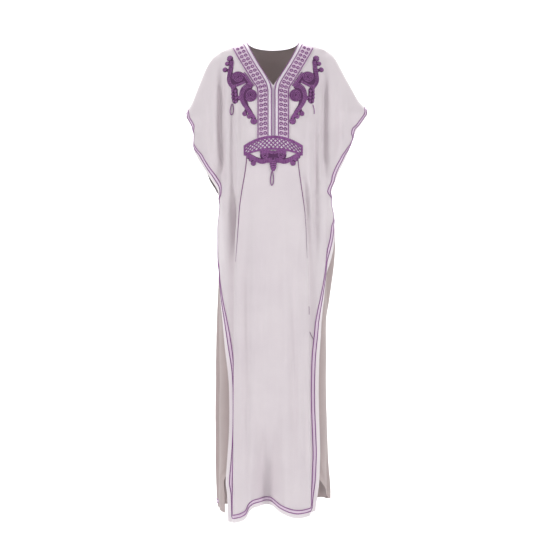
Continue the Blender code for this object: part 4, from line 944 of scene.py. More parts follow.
def add_stitches(book, points, outs, pitch, slot=0):
    """A row of short stitches along a route, each a small flat lozenge of thread."""
    line, out, _ = spaced(points, outs, pitch)
    ahead = unit(np.gradient(line, axis=0))
    across = unit(np.cross(ahead, out))
    for p, a, c, o in zip(line, ahead, across, out):
        long, wide = a * STITCH_LONG / 2, c * STITCH_WIDE / 2
        ring = [p - long, p + wide, p + long, p - wide]
        vertices = [*ring, p + o * STITCH_WIDE * STITCH_ABOVE, p - o * STITCH_WIDE * STITCH_BELOW]
        faces = [[k, (k + 1) % 4, 4] for k in range(4)] + [[(k + 1) % 4, k, 5] for k in range(4)]
        book.add(vertices, faces, [[[0, 0], [1, 0], [0.5, 1]]] * 8, slot)


def trim_route(cloth, step, first, lift):
    """A line beside the free edges: down one side from a row, along the hem and up the other side."""
    i, j = cloth.hem_route(step, first)
    points, outs = cloth.at(i, j)
    return points + outs * lift, outs


def side_route(cloth, step, side, first, last, lift):
    """A line beside one side edge, between two rows."""
    inset = -cloth.edge_index(step)
    j = np.arange(first, last + 1)
    i = np.full(len(j), inset if side < 0 else cloth.points.shape[0] - 1 - inset)
    points, outs = cloth.at(i, j)
    return points + outs * lift, outs


def add_front_ribbon(cloth, looks):
    """The ribbon down both side edges and along the hem, with its lines and its stitches."""
    book = Book()
    columns, rows = cloth.points.shape[0] - 1, cloth.points.shape[1] - 1
    cells = np.zeros((columns, rows), bool)
    cells[2:RIBBON_END, : rows - 2] = True
    cells[columns - RIBBON_END : columns - 2, : rows - 2] = True
    cells[2 : columns - 2, rows - RIBBON_END : rows - 2] = True
    i = np.arange(columns + 1)[:, None]
    j = np.arange(rows + 1)[None, :]
    from_edge = np.minimum(np.minimum(i, columns - i), rows - j)
    lay_ribbon(book, cloth, cells, from_edge, cloth.points[..., 2] + cloth.around)
    for step in LINES:
        add_line(book, *trim_route(cloth, step, 0, RIBBON_TOP))
    for step in STITCH_LINES:
        points, outs = trim_route(cloth, step, 1, RIBBON_TOP)
        add_stitches(book, points, outs, STITCH_PITCH, slot=2)
    return book.make("front_edge_trim", [looks["ribbon"], looks["cord"], looks["thread"]], sharp=SHARP_TRIM)


def add_back_ribbons(cloth, looks):
    """The back's ribbons: one along the middle of the hem and one down each sleeve opening."""
    columns, rows = cloth.points.shape[0] - 1, cloth.points.shape[1] - 1
    materials = [looks["ribbon"], looks["cord"]]
    book = Book()
    cells = np.zeros((columns, rows), bool)
    cells[BACK_HEM_INSET : columns - BACK_HEM_INSET, rows - RIBBON_END : rows - 2] = True
    lay_ribbon(book, cloth, cells, rows - np.arange(rows + 1), cloth.around)
    across = np.arange(BACK_HEM_INSET, columns - BACK_HEM_INSET + 1)
    for step in LINES:
        points, outs = cloth.at(across, np.full(len(across), rows + cloth.edge_index(step)))
        add_line(book, points + outs * RIBBON_TOP, outs)
    made = {"hem": book.make("back_hem_trim", materials, sharp=SHARP_TRIM)}
    low = ROWS_TOP - SLEEVE_TRIM_ABOVE
    i = np.arange(columns + 1)[:, None]
    for side, name in ((-1, "left"), (1, "right")):
        book = Book()
        cells = np.zeros((columns, rows), bool)
        picked = slice(2, RIBBON_END) if side < 0 else slice(columns - RIBBON_END, columns - 2)
        cells[picked, :low] = True
        lay_ribbon(book, cloth, cells, np.minimum(i, columns - i), cloth.points[..., 2])
        for step in LINES:
            add_line(book, *side_route(cloth, step, side, 0, low, RIBBON_TOP))
        made[name] = book.make(f"back_sleeve_trim_{name}", materials, sharp=SHARP_TRIM)
    return made


class NeckBand:
    """Places on one side's neck band, from its length and the share of its width."""

    def __init__(self, face, side):
        self.face, self.side = face, side
        self.edges = {name: column_of(BAND_EDGES, name) for name in Band._fields[1:]}

    def flat(self, along, share):
        """The place across and the height, as seen from the front."""
        x = self.edges["inner_x"](along) * (1 - share) + self.edges["outer_x"](along) * share
        z = self.edges["inner_z"](along) * (1 - share) + self.edges["outer_z"](along) * share
        return x, np.maximum(z, waist_top(x) + BAND_CLEAR)

    def share(self, strip, along):
        """A strip's share of the width, which turns from the V's to the centre's."""
        turn = ease((along - BAND_TURN_AT) / BAND_TURN_OVER)
        return strip.v * (1 - turn) + strip.front * turn

    def lay(self, along, strip, lift):
        along = np.asarray(along, float)
        x, z = self.flat(along, self.share(strip, along))
        return self.face.lay(self.side * x, z, lift)

    def strip(self, book, low_edge, high_edge, cells, lift, thickness, slot):
        """A flat strip of cloth between two lines along the band."""
        along = np.linspace(BAND_START, 1, BAND_FINE_ROWS + 1)
        part = np.linspace(0, 1, cells + 1)[:, None]
        low, high = self.share(low_edge, along)[None, :], self.share(high_edge, along)[None, :]
        share = low * (1 - part) + high * part
        x, z = self.flat(np.broadcast_to(along, share.shape), share)
        base, out = self.face.lay(self.side * x, z, lift)
        places = np.stack([share * BAND_WIDTH, np.broadcast_to(along * BAND_LENGTH, share.shape)], axis=-1)
        turned = self.side > 0
        marked = np.ones((cells, BAND_FINE_ROWS), bool)
        add_shell(book, base, base + out * thickness, marked, places, not turned, slot)


def ring_places(band, strip):
    """Lengths along the band at which rings of one track stand, one pitch apart."""
    along = np.linspace(*RING_SPAN, RING_SAMPLES)
    x, z = band.flat(along, band.share(strip, along))
    length = np.concatenate([[0], np.cumsum(np.hypot(np.diff(x), np.diff(z)))])
    count = int(round(length[-1] / RING_PITCH))
    return np.interp((np.arange(count) + 0.5) * length[-1] / count, length, along)


def add_ring(book, centre, out, slot):
    """A small ring of cord that lies flat, as a torus with a few faces."""
    sides, steps = RING_SIDES, RING_STEPS
    first = unit(np.cross(out, RING_START))
    second = np.cross(out, first)
    turn = np.arange(steps) / steps * 2 * math.pi
    line = centre + RING_RADIUS * (np.cos(turn)[:, None] * first + np.sin(turn)[:, None] * second)
    away = np.broadcast_to(out, line.shape)
    radial = unit(line - centre)
    angle = np.arange(sides) / sides * 2 * math.pi
    ring = line[:, None] + RING_CORD * (
        np.cos(angle)[None, :, None] * radial[:, None] + np.sin(angle)[None, :, None] * away[:, None]
    )
    faces, places = [], []
    for i in range(steps):
        for k in range(sides):
            a, b = (i + 1) % steps, (k + 1) % sides
            faces.append([i * sides + k, i * sides + b, a * sides + b, a * sides + k])
            u, u_next, v, v_next = k / sides, (k + 1) / sides, i * RING_PLACE, (i + 1) * RING_PLACE
            places.append([[u, v], [u_next, v], [u_next, v_next], [u, v_next]])
    if np.cross(first, second).dot(out) < 0:
        faces = [face[::-1] for face in faces]
    book.add(ring.reshape(-1, 3), faces, places, slot)


def add_neck_band(face, side, looks):
    """One side's neck band, with its satin strip, placket, cords and two tracks of rings."""
    band = NeckBand(face, side)
    book = Book()
    full = (Strip(0.0, 0.0), Strip(1.0, 1.0))
    band.strip(book, *full, BAND_FINE_CELLS, GAP, BAND_THICKNESS, 0)
    top = GAP + BAND_THICKNESS
    band.strip(book, *SATIN, SATIN_CELLS, top - STRIP_SINK, SATIN_THICKNESS, 1)
    band.strip(book, full[0], PLACKET_EDGE, PLACKET_CELLS, top - STRIP_SINK, PLACKET_THICKNESS, 2)
    along = np.linspace(BAND_START, 1.0, BAND_POINTS)
    for strip, radius in BAND_CORDS:
        points, outs = band.lay(along, strip, top + radius * SEAT["band"])
        add_cord(book, points, outs, radius, slot=3, **BAND_CORD)
    for track in RING_TRACKS:
        at = ring_places(band, track)
        for point, out in zip(*band.lay(at, track, top + RING_CORD * SEAT["ring"])):
            add_ring(book, point, out, 3)
    name = "neck_band_trim_left" if side < 0 else "neck_band_trim_right"
    return book.make(name, [looks["band"], looks["satin"], looks["placket"], looks["cord"]], sharp=SHARP_TRIM)


def waist_top(x):
    """The waist band's upper edge, which falls to the sides."""
    return WAIST_TOP - WAIST_FALL * (np.abs(x) / WAIST_HALF) ** 2


def waist_height(x):
    """The waist band's height, which lessens to the sides."""
    return WAIST_HEIGHT - (WAIST_HEIGHT - WAIST_END_HEIGHT) * (np.abs(x) / WAIST_HALF) ** 2


def waist_place(x, share):
    """Places at a share of the height down from the upper edge."""
    return x, waist_top(x) - waist_height(x) * share


def add_waist_band(face, looks):
    """The waist band: its ground, a lattice of cords that cross over and under, and a corded border."""
    book = Book()
    cells, rows = WAIST_GRID
    x = np.linspace(-WAIST_HALF, WAIST_HALF, cells + 1)[:, None]
    share = np.linspace(0, 1, rows + 1)[None, :]
    x, z = np.broadcast_arrays(*waist_place(x + 0 * share, share))
    low, out = face.lay(x, z, GAP)
    places = np.stack([x, z], axis=-1)
    add_shell(book, low, low + out * BAND_THICKNESS, np.ones((cells, rows), bool), places, False, 0)
    top = GAP + BAND_THICKNESS
    count = int(round(2 * WAIST_HALF / LATTICE_PITCH))
    for way in (-1, 1):
        for k in range(-LATTICE_SPARE, count + LATTICE_SPARE):
            t = np.linspace(0, 1, LATTICE_POINTS)
            start = -WAIST_HALF + (k + 0.5) * 2 * WAIST_HALF / count
            run = start + way * (t - 0.5) * WAIST_HEIGHT
            inside = np.abs(run) <= WAIST_HALF
            if inside.sum() < LATTICE_SHORTEST:
                continue
            run, part = run[inside], t[inside]
            over = way * np.cos(part * math.pi * LATTICE_CROSSINGS + k * math.pi)
            height = top + LATTICE_RADIUS * (LATTICE_LIFT + LATTICE_WEAVE * over)
            points, outs = face.lay(*waist_place(run, part), height)
            add_cord(book, points, outs, LATTICE_RADIUS, slot=1, **LATTICE_CORD)
    x = np.linspace(-1, 1, BORDER_POINTS) * WAIST_HALF
    for offset in BORDER_CORDS:
        for edge, way in ((0.0, -1), (1.0, 1)):
            if edge == 1.0 and offset == BORDER_CORDS[-1]:
                continue
            _, z = waist_place(x, edge)
            points, outs = face.lay(x, z + way * offset, top + BORDER_RADIUS * SEAT["border"])
            add_cord(book, points, outs, BORDER_RADIUS, slot=1)
    for end in (-1, 1):
        part = np.linspace(-END_PAST, 1 + END_PAST, END_POINTS)
        for offset in END_CORDS:
            place = waist_place(np.full(END_POINTS, end * (WAIST_HALF - offset)), part)
            points, outs = face.lay(*place, top + BORDER_RADIUS * SEAT["end"])
            add_cord(book, points, outs, BORDER_RADIUS, slot=1)
    return book.make("waist_band_trim", [looks["lattice_ground"], looks["cord"]], sharp=SHARP_TRIM)


# Scrolls: each route is a chain of points; a braid lays several cords beside it
Coil = namedtuple("Coil", "x z inner outer turns start way")
Braid = namedtuple("Braid", "cords pitch taper points")
Knot = namedtuple("Knot", "x z radius")
CHEST_COILS = [
    Coil(0.1025, -0.1165, 0.0022, 0.0182, 3.4, 2.2, -1),
    Coil(0.0640, -0.1740, 0.0022, 0.0192, 3.7, 1.4, 1),
]
CHEST_BRAIDS = [
    Braid(3, 0.0040, 0.85, [(0.1200, -0.0660), (0.1235, -0.0869), (0.1282, -0.1071), (0.1288, -0.1256),
                            (0.1228, -0.1406), (0.1126, -0.1515)]),
    Braid(3, 0.0038, 0.80, [(0.0880, -0.1040), (0.0779, -0.1175), (0.0680, -0.1334), (0.0580, -0.1470)]),
    Braid(2, 0.0038, 1.00, [(0.1190, -0.1424), (0.1063, -0.1425), (0.0920, -0.1370), (0.0805, -0.1318)]),
    Braid(4, 0.0040, 0.50, [(0.0640, -0.1440), (0.0786, -0.1460), (0.0890, -0.1575), (0.0925, -0.1772),
                            (0.0868, -0.1969), (0.0738, -0.2151), (0.0618, -0.2306), (0.0535, -0.2430)]),
    Braid(2, 0.0038, 1.00, [(0.1030, -0.1750), (0.0942, -0.1853)]),
]
CHEST_KNOTS = table(
    Knot,
    (0.1256, -0.0545, 0.0072), (0.1290, -0.0590, 0.0072), (0.1350, -0.0722, 0.0068),
    (0.1422, -0.0899, 0.0074), (0.1178, -0.1571, 0.0048), (0.1085, -0.1585, 0.0048),
    (0.1184, -0.1671, 0.0048), (0.1075, -0.1690, 0.0048), (0.1176, -0.1772, 0.0048),
    (0.1068, -0.1796, 0.0048), (0.1145, -0.1876, 0.0046), (0.1064, -0.1905, 0.0044),
    (0.0836, -0.2270, 0.0078), (0.0696, -0.2363, 0.0072), (0.0563, -0.2510, 0.0098),
)
WAIST_COILS = [
    Coil(0.0243, -0.3500, 0.0020, 0.0128, 2.4, 2.6, -1),
]
WAIST_BRAIDS = [
    Braid(3, 0.0030, 1.00, [(0.0000, -0.3440), (0.0120, -0.3400), (0.0260, -0.3385), (0.0380, -0.3440)]),
    Braid(4, 0.0036, 0.70, [(0.0020, -0.3640), (0.0163, -0.3650), (0.0319, -0.3690), (0.0475, -0.3637),
                            (0.0631, -0.3538), (0.0728, -0.3458)]),
]
WAIST_KNOTS = table(
    Knot,
    (0.0790, -0.3470, 0.0048), (0.0724, -0.3530, 0.0056), (0.0650, -0.3620, 0.0058),
    (0.0572, -0.3730, 0.0078),
)
PINECONE = [(-0.3650, 0.0078), (-0.3705, 0.0098), (-0.3765, 0.0104), (-0.3825, 0.0094), (-0.3880, 0.0072),
            (-0.3930, 0.0042)]


def through(points, step=ROUTE_STEP):
    """A smooth curve through the points of a route."""
    p = np.array([points[0], *points, points[-1]], float)
    found = []
    for a, b, c, d in zip(p, p[1:], p[2:], p[3:]):
        count = max(int(np.linalg.norm(c - b) / step), 2)
        t = np.linspace(0, 1, count, endpoint=False)[:, None]
        found.append(0.5 * (2 * b + (c - a) * t + (2 * a - 5 * b + 4 * c - d) * t**2
                            + (3 * b - a - 3 * c + d) * t**3))
    return np.concatenate([*found, p[-1:]])


def coil_route(coil):
    """The route of a coil, from its middle out."""
    t = np.linspace(0, 1, int(coil.turns * COIL_POINTS))
    radius = coil.inner + (coil.outer - coil.inner - SCROLL_CORD) * t
    angle = coil.start + coil.way * coil.turns * 2 * math.pi * t
    return np.stack([coil.x + radius * np.cos(angle), coil.z + radius * np.sin(angle)], axis=1)


def outline_distance(x, z, rounds, bars):
    """Distance to a scroll's outline, negative inside."""
    distance = np.full(np.shape(x), 1.0)
    for r in rounds:
        distance = np.minimum(distance, np.hypot(x - r.x, z - r.z) - r.radius)
    for bar in bars:
        dx, dz = bar.x2 - bar.x1, bar.z2 - bar.z1
        along = np.clip(((x - bar.x1) * dx + (z - bar.z1) * dz) / (dx * dx + dz * dz), 0, 1)
        distance = np.minimum(distance, np.hypot(x - bar.x1 - along * dx, z - bar.z1 - along * dz) - bar.half)
    return distance


def add_base(book, face, rounds, bars, side, slot):
    """The scroll's felt base: a fine grid cut along the outline, with a closed rim."""
    pitch = SCROLL_FINE_PITCH
    x_high = max(max(r.x + r.radius for r in rounds), max(max(b.x1, b.x2) + b.half for b in bars)) + pitch
    x_low = min(min(r.x - r.radius for r in rounds), min(min(b.x1, b.x2) - b.half for b in bars)) - pitch
    z_high = max(max(r.z + r.radius for r in rounds), max(max(b.z1, b.z2) + b.half for b in bars)) + pitch
    z_low = min(min(r.z - r.radius for r in rounds), min(min(b.z1, b.z2) - b.half for b in bars)) - pitch
    if side == 0:
        x_low = -x_high
    xs = np.arange(x_low, x_high + pitch, pitch)
    zs = np.arange(z_low, z_high + pitch, pitch)
    sign = 1 if side == 0 else side
    flat_x = np.abs(xs[:, None]) if side == 0 else xs[:, None]
    value = outline_distance(flat_x + 0 * zs[None, :], zs[None, :] + 0 * xs[:, None], rounds, bars)
    vertices, index, triangles = [], {}, []

    def vertex(key, x, z):
        if key not in index:
            index[key] = len(vertices)
            vertices.append((x, z))
        return index[key]

    def corner(key):
        return vertex((key,), xs[key[0]], zs[key[1]])

    def cut(inside, outside):
        first, second = value[inside], value[outside]
        t = min(max(first / (first - second), CUT_NEAR), 1 - CUT_NEAR)
        return vertex(
            (inside, outside), xs[inside[0]] * (1 - t) + xs[outside[0]] * t,
            zs[inside[1]] * (1 - t) + zs[outside[1]] * t,
        )

    for i in range(len(xs) - 1):
        for j in range(len(zs) - 1):
            a, b, c, d = (i, j), (i + 1, j), (i + 1, j + 1), (i, j + 1)
            for corners in ((a, b, c), (a, c, d)):
                within = [value[k] < 0 for k in corners]
                if all(within):
                    triangles.append([corner(k) for k in corners])
                elif sum(within) == 1:
                    k = within.index(True)
                    p, q, r = corners[k], corners[(k + 1) % 3], corners[(k + 2) % 3]
                    triangles.append([corner(p), cut(p, q), cut(p, r)])
                elif sum(within) == 2:
                    k = within.index(False)
                    p, q, r = corners[k], corners[(k + 1) % 3], corners[(k + 2) % 3]
                    triangles.append([cut(q, p), corner(q), corner(r)])
                    triangles.append([cut(q, p), corner(r), cut(r, p)])
    flat = np.array(vertices)
    low, out = face.lay(sign * flat[:, 0], flat[:, 1], GAP)
    high = low + out * SCROLL_BASE
    count = len(flat)
    faces, edges = [], set()
    for a, b, c in triangles:
        faces += [[a + count, b + count, c + count], [c, b, a]]
        edges |= {(a, b), (b, c), (c, a)}
    for a, b in edges:
        if (b, a) not in edges:
            faces.append([b + count, a + count, a, b])
    if sign < 0:
        faces = [f[::-1] for f in faces]
    both = np.concatenate([flat, flat])
    places = [[both[v] for v in f] for f in faces]
    book.add(np.concatenate([low, high]), faces, places, slot)


def add_knot(book, face, x, z, radius, side, slot, base):
    """A small coil of cord wound up to a knob."""
    t = np.linspace(0, 1, int(KNOT_FINE * radius / KNOT_SIZE) + KNOT_POINTS)
    turns = max(radius / (KNOT_WIND * SCROLL_CORD), KNOT_LEAST)
    spread = (radius - SCROLL_CORD) * (1 - t) + KNOT_CORE
    angle = turns * 2 * math.pi * t + KNOT_TURN * x
    lift = base + SCROLL_CORD * SEAT["knot"] + KNOT_RISE * t**KNOT_STEEP
    points, outs = face.lay(side * (x + spread * np.cos(angle)), z + spread * np.sin(angle), lift)
    add_cord(book, points, outs, SCROLL_CORD, slot=slot)


def add_braid(book, face, braid, side, slot, base):
    """Cords that lie side by side along a route and draw together to its end."""
    line = through(braid.points)
    ahead = np.gradient(line, axis=0)
    ahead /= np.maximum(np.linalg.norm(ahead, axis=1, keepdims=True), TINY)
    beside = np.stack([-ahead[:, 1], ahead[:, 0]], axis=1)
    t = np.linspace(0, 1, len(line))[:, None]
    width = 1 - (1 - braid.taper) * t
    for k in range(braid.cords):
        offset = (k - (braid.cords - 1) / 2) * braid.pitch
        lane = line + beside * offset * width
        points, outs = face.lay(side * lane[:, 0], lane[:, 1], base + SCROLL_CORD * SEAT["braid"])
        add_cord(book, points, outs, SCROLL_CORD, slot=slot)


def add_scroll(name, face, rounds, bars, coils, braids, knots, side, looks, rolls=()):
    """A corded scroll: a base with braids, coils and knots of cord on it. Side 0 stands for both halves."""
    book = Book()
    add_base(book, face, rounds, bars, side, 1)
    base = GAP + SCROLL_BASE
    for half in (-1, 1) if side == 0 else (side,):
        for braid in braids:
            add_braid(book, face, braid, half, 0, base)
        for coil in coils:
            route = coil_route(coil)
            points, outs = face.lay(half * route[:, 0], route[:, 1], base + SCROLL_CORD * SEAT["coil"])
            add_cord(book, points, outs, SCROLL_CORD, slot=0)
        for knot in knots:
            add_knot(book, face, knot.x, knot.z, knot.radius, half, 0, base)
    t = np.linspace(-1, 1, ROLL_POINTS)
    for level, half_width in rolls:
        lift = base + SCROLL_CORD * SEAT["roll"] + ROLL_RISE * (1 - t**2)
        points, outs = face.lay(t * half_width, level - ROLL_BOW * (1 - t**2), lift)
        add_cord(book, points, outs, ROLL_RADIUS, slot=0)
    return book.make(name, [looks["cord"], looks["felt"]], sharp=SHARP_TRIM)


# Loops of cord that hang on the cloth: their top and foot, and the half width of the loop
Loop = namedtuple("Loop", "name x1 z1 x2 z2 half")
LOOPS = [
    Loop("chest_loop_left", -0.1203, -0.1955, -0.1226, -0.2276, 0.0052),
    Loop("waist_loop", -0.0030, -0.3965, -0.0040, -0.4372, 0.0054),
    Loop("chest_strand_right", 0.1152, -0.1990, 0.1175, -0.2260, 0.0),
]
LOOP_RADIUS = 0.0013
LOOP_CORD = {"step": 0.0011, "ends": 0.7}
LOOP_OPEN, LOOP_NARROW, LOOP_POINTS = 0.10, 0.55, 90
STRAND_SWAY, STRAND_BEND, STRAND_POINTS = 0.0030, 2.6, 40


def add_loop(face, loop, looks):
    """A thin cord from its top round the foot and back up, or a single strand."""
    if loop.half == 0:
        t = np.linspace(0, 1, STRAND_POINTS)
        x = loop.x1 + (loop.x2 - loop.x1) * t + STRAND_SWAY * np.sin(t * STRAND_BEND)
        z = loop.z1 + (loop.z2 - loop.z1) * t
    else:
        angle = np.linspace(LOOP_OPEN, 2 * math.pi - LOOP_OPEN, LOOP_POINTS)
        t = (1 - np.cos(angle)) / 2
        half = loop.half * np.sin(angle) * (LOOP_NARROW + (1 - LOOP_NARROW) * t)
        x = loop.x1 + (loop.x2 - loop.x1) * t + half
        z = loop.z1 + (loop.z2 - loop.z1) * t
    points, outs = face.lay(x, z, GAP + LOOP_RADIUS * SEAT["loop"])
    book = Book()
    add_cord(book, points, outs, LOOP_RADIUS, **LOOP_CORD)
    return book.make(f"{loop.name}_cord", [looks["cord"]], sharp=SHARP_CORD)


# Seams: a purple piping down each side of the front, which narrows to nothing
Seam = namedtuple("Seam", "name points")
SEAMS = [
    Seam("left", [(-0.0770, -0.3500), (-0.0810, -0.4100), (-0.0855, -0.4800), (-0.0905, -0.5500),
                  (-0.0945, -0.6074), (-0.0980, -0.6604)]),
    Seam("right", [(0.0710, -0.3500), (0.0755, -0.4100), (0.0800, -0.4727), (0.0840, -0.5200),
                   (0.0880, -0.5848), (0.0910, -0.6500)]),
]
SEAM_RADIUS, SEAM_NARROWS, SEAM_STEP = 0.0016, 0.75, 0.003
# Short bars of thread that hold the folds
TACKS = [
    [(0.0985, -0.7900), (0.1030, -0.8150)],
    [(0.1080, -0.8650), (0.1230, -0.8900)],
]
TACK_RADIUS, TACK_LIFT, TACK_STEP = 0.0010, 0.0006, 0.002


def add_seams(face, looks):
    """Piping that narrows down each side, and the short bars of thread."""
    book = Book()
    for seam in SEAMS:
        line = through(seam.points, SEAM_STEP)
        points, outs = face.lay(line[:, 0], line[:, 1], SEAM_RADIUS * SEAT["seam"])
        add_cord(book, points, outs, lambda t: SEAM_RADIUS * (1 - SEAM_NARROWS * t**2), **PIPING)
    for tack in TACKS:
        line = through(tack, TACK_STEP)
        points, outs = face.lay(line[:, 0], line[:, 1], TACK_LIFT)
        add_cord(book, points, outs, TACK_RADIUS, **PIPING)
    return book.make("front_seam_piping", [looks["piping"]], sharp=SHARP_CORD)


def add_back_binding(cloth, looks):
    """A narrow rolled edge round the back of the neck."""
    columns = cloth.points.shape[0]
    middle = columns // 2
    reach = round(BACK_INNER * NECK_SHARE)
    i = np.arange(middle - reach + 1, middle + reach)
    points, outs = cloth.at(i, np.zeros(len(i)))
    book = Book()
    add_cord(book, points, outs, **BINDING)
    return book.make("back_neck_edge", [looks["satin"]], sharp=SHARP_CORD)


def new_group(name, inputs, outputs):
    tree = bpy.data.node_groups.new(name, "ShaderNodeTree")
    for label, value in inputs:
        socket = tree.interface.new_socket(label, in_out="INPUT", socket_type="NodeSocketFloat")
        socket.default_value = value
    for label, kind in outputs:
        tree.interface.new_socket(label, in_out="OUTPUT", socket_type=kind)
    return tree, tree.nodes.new("NodeGroupInput"), tree.nodes.new("NodeGroupOutput")


class Wires:
    """Adds nodes to a tree and joins them."""

    def __init__(self, tree):
        self.tree = tree

    def node(self, kind, **values):
        made = self.tree.nodes.new(kind)
        for name, value in values.items():
            setattr(made, name, value)
        return made

    def put(self, socket, value):
        if isinstance(value, bpy.types.NodeSocket):
            self.tree.links.new(value, socket)
        else:
            socket.default_value = value

    def math(self, operation, first, second=None, third=None):
        made = self.node("ShaderNodeMath", operation=operation)
        self.put(made.inputs[0], first)
        if second is not None:
            self.put(made.inputs[1], second)
        if third is not None:
            self.put(made.inputs[2], third)
        return made.outputs[0]

    def noise(self, place, scale, detail=2.0):
        made = self.node("ShaderNodeTexNoise")
        self.put(made.inputs["Vector"], place)
        made.inputs["Scale"].default_value = scale
        made.inputs["Detail"].default_value = detail
        return made.outputs["Fac"]

    def pattern(self):
        return self.node("ShaderNodeUVMap", uv_map="pattern").outputs[0]

    def split(self, vector):
        made = self.node("ShaderNodeSeparateXYZ")
        self.put(made.inputs[0], vector)
        return made.outputs[0], made.outputs[1]

    def ramp(self, value, low, high, low_to, high_to):
        made = self.node("ShaderNodeMapRange")
        for k, item in enumerate((value, low, high, low_to, high_to)):
            self.put(made.inputs[k], item)
        return made.outputs[0]

    def mix(self, share, first, second):
        made = self.node("ShaderNodeMix", data_type="RGBA")
        self.put(made.inputs["Factor"], share)
        for name, value in (("A", first), ("B", second)):
            socket = [s for s in made.inputs if s.name == name and s.type == "RGBA"][0]
            self.put(socket, value if isinstance(value, bpy.types.NodeSocket) else (*value, 1.0))
        return [s for s in made.outputs if s.type == "RGBA"][0]


def weave_group():
    """Fine crossed threads with uneven crepe grain: a painted shade that darkens the colour where they lie
    low and lightens it where they stand high, and how high they are.
    """
    tree, given, out = new_group(
        "Crepe weave",
        [("Threads", 1900.0), ("Grain", 700.0)],
        [("Painted shade", "NodeSocketFloat"), ("Relief", "NodeSocketFloat"), ("Cloud", "NodeSocketFloat")],
    )
    w = Wires(tree)
    place = w.pattern()
    u, v = w.split(place)
    threads = given.outputs["Threads"]
    warp = w.math("SINE", w.math("MULTIPLY", u, threads))
    weft = w.math("SINE", w.math("MULTIPLY", v, threads))
    crossed = w.math("MULTIPLY", warp, weft)
    fleck = w.node("ShaderNodeTexNoise")
    w.put(fleck.inputs["Vector"], place)
    w.put(fleck.inputs["Scale"], given.outputs["Grain"])
    fleck.inputs["Detail"].default_value = 3.0
    grain = fleck.outputs["Fac"]
    relief = w.math("ADD", w.math("MULTIPLY", crossed, 0.30), w.math("MULTIPLY", grain, 0.9))
    cloud = w.noise(place, 9.0, 4.0)
    # Painted shade and highlight: darker where the threads and grain lie low, lighter where they stand high.
    painted_shade = w.ramp(relief, -0.2, 1.2, 0.90, 1.08)
    w.put(out.inputs["Painted shade"], painted_shade)
    w.put(out.inputs["Relief"], relief)
    w.put(out.inputs["Cloud"], cloud)
    return tree


def ply_group():
    """Two plies of fine filaments that run round a cord: painted shade in the grooves between the plies and
    painted highlight on their crowns, and how high a point is.
    """
    tree, given, out = new_group(
        "Cord plies",
        [("Pitch", TWIST_PITCH), ("Filaments", 26.0)],
        [("Painted shade", "NodeSocketFloat"), ("Relief", "NodeSocketFloat")],
    )
    w = Wires(tree)
    u, v = w.split(w.pattern())
    turn = w.math("DIVIDE", v, given.outputs["Pitch"])
    round_twice = w.math("SUBTRACT", w.math("MULTIPLY", u, 2.0), turn)
    ply = w.math("SINE", w.math("MULTIPLY", round_twice, 2 * math.pi))
    lean = w.math("ADD", u, w.math("MULTIPLY", turn, 0.8))
    filament = w.math("MULTIPLY", lean, given.outputs["Filaments"])
    fine = w.math("SINE", w.math("MULTIPLY", filament, 2 * math.pi))
    relief = w.math("ADD", w.math("MULTIPLY", ply, 0.7), w.math("MULTIPLY", fine, 0.25))
    # Painted shade and highlight: the grooves between the plies are darkened and their crowns are lightened.
    w.put(out.inputs["Painted shade"], w.ramp(relief, -1.0, 1.0, 0.62, 1.22))
    w.put(out.inputs["Relief"], relief)
    return tree


def new_material(name, roughness, sheen=0.0, sheen_roughness=0.4, specular=0.5):
    material = bpy.data.materials.new(name)
    material.use_nodes = True
    shader = material.node_tree.nodes["Principled BSDF"]
    shader.inputs["Roughness"].default_value = roughness
    shader.inputs["Metallic"].default_value = 0.0
    shader.inputs["Specular IOR Level"].default_value = specular
    shader.inputs["Sheen Weight"].default_value = sheen
    shader.inputs["Sheen Roughness"].default_value = sheen_roughness
    return material, shader, Wires(material.node_tree)


def add_bump(w, shader, relief, distance, strength):
    bump = w.node("ShaderNodeBump")
    bump.inputs["Strength"].default_value = strength
    bump.inputs["Distance"].default_value = distance
    w.put(bump.inputs["Height"], relief)
    w.put(shader.inputs["Normal"], bump.outputs["Normal"])


def with_painted_shade(w, colour, painted_shade):
    """A colour with painted shade and highlight: made lighter or darker by a value that changes over the
    surface.
    """
    made = w.node("ShaderNodeVectorMath", operation="SCALE")
    w.put(made.inputs[0], colour)
    w.put(made.inputs["Scale"], painted_shade)
    return made.outputs[0]


def crepe_material(name, light, dark, margin, weave):
    material, shader, w = new_material(name, 0.82, 0.22, 0.5, 0.25)
    group = w.node("ShaderNodeGroup", node_tree=weave)
    cloud = w.ramp(group.outputs["Cloud"], 0.3, 0.7, 0.0, 1.0)
    colour = w.mix(cloud, light, dark)
    edge = w.node("ShaderNodeAttribute", attribute_name="margin").outputs["Fac"]
    colour = w.mix(w.math("MULTIPLY", edge, 0.85), colour, margin)
    w.put(shader.inputs["Base Color"], with_painted_shade(w, colour, group.outputs["Painted shade"]))
    add_bump(w, shader, group.outputs["Relief"], 0.0004, 0.5)
    return material


def woven_material(name, colour, other, roughness, weave, threads, grain, sheen=0.15):
    material, shader, w = new_material(name, roughness, sheen, 0.35, 0.4)
    group = w.node("ShaderNodeGroup", node_tree=weave)
    group.inputs["Threads"].default_value = threads
    group.inputs["Grain"].default_value = grain
    mixed = w.mix(w.ramp(group.outputs["Cloud"], 0.3, 0.7, 0.0, 1.0), colour, other)
    w.put(shader.inputs["Base Color"], with_painted_shade(w, mixed, group.outputs["Painted shade"]))
    add_bump(w, shader, group.outputs["Relief"], 0.0003, 0.5)
    return material


def cord_material(name, colour, other, roughness, plies, sheen=0.3):
    material, shader, w = new_material(name, roughness, sheen, 0.3, 0.5)
    group = w.node("ShaderNodeGroup", node_tree=plies)
    place = w.node("ShaderNodeTexCoord").outputs["Object"]
    mixed = w.mix(w.ramp(w.noise(place, 60.0), 0.35, 0.65, 0.0, 1.0), colour, other)
    w.put(shader.inputs["Base Color"], with_painted_shade(w, mixed, group.outputs["Painted shade"]))
    add_bump(w, shader, group.outputs["Relief"], 0.0005, 0.6)
    return material


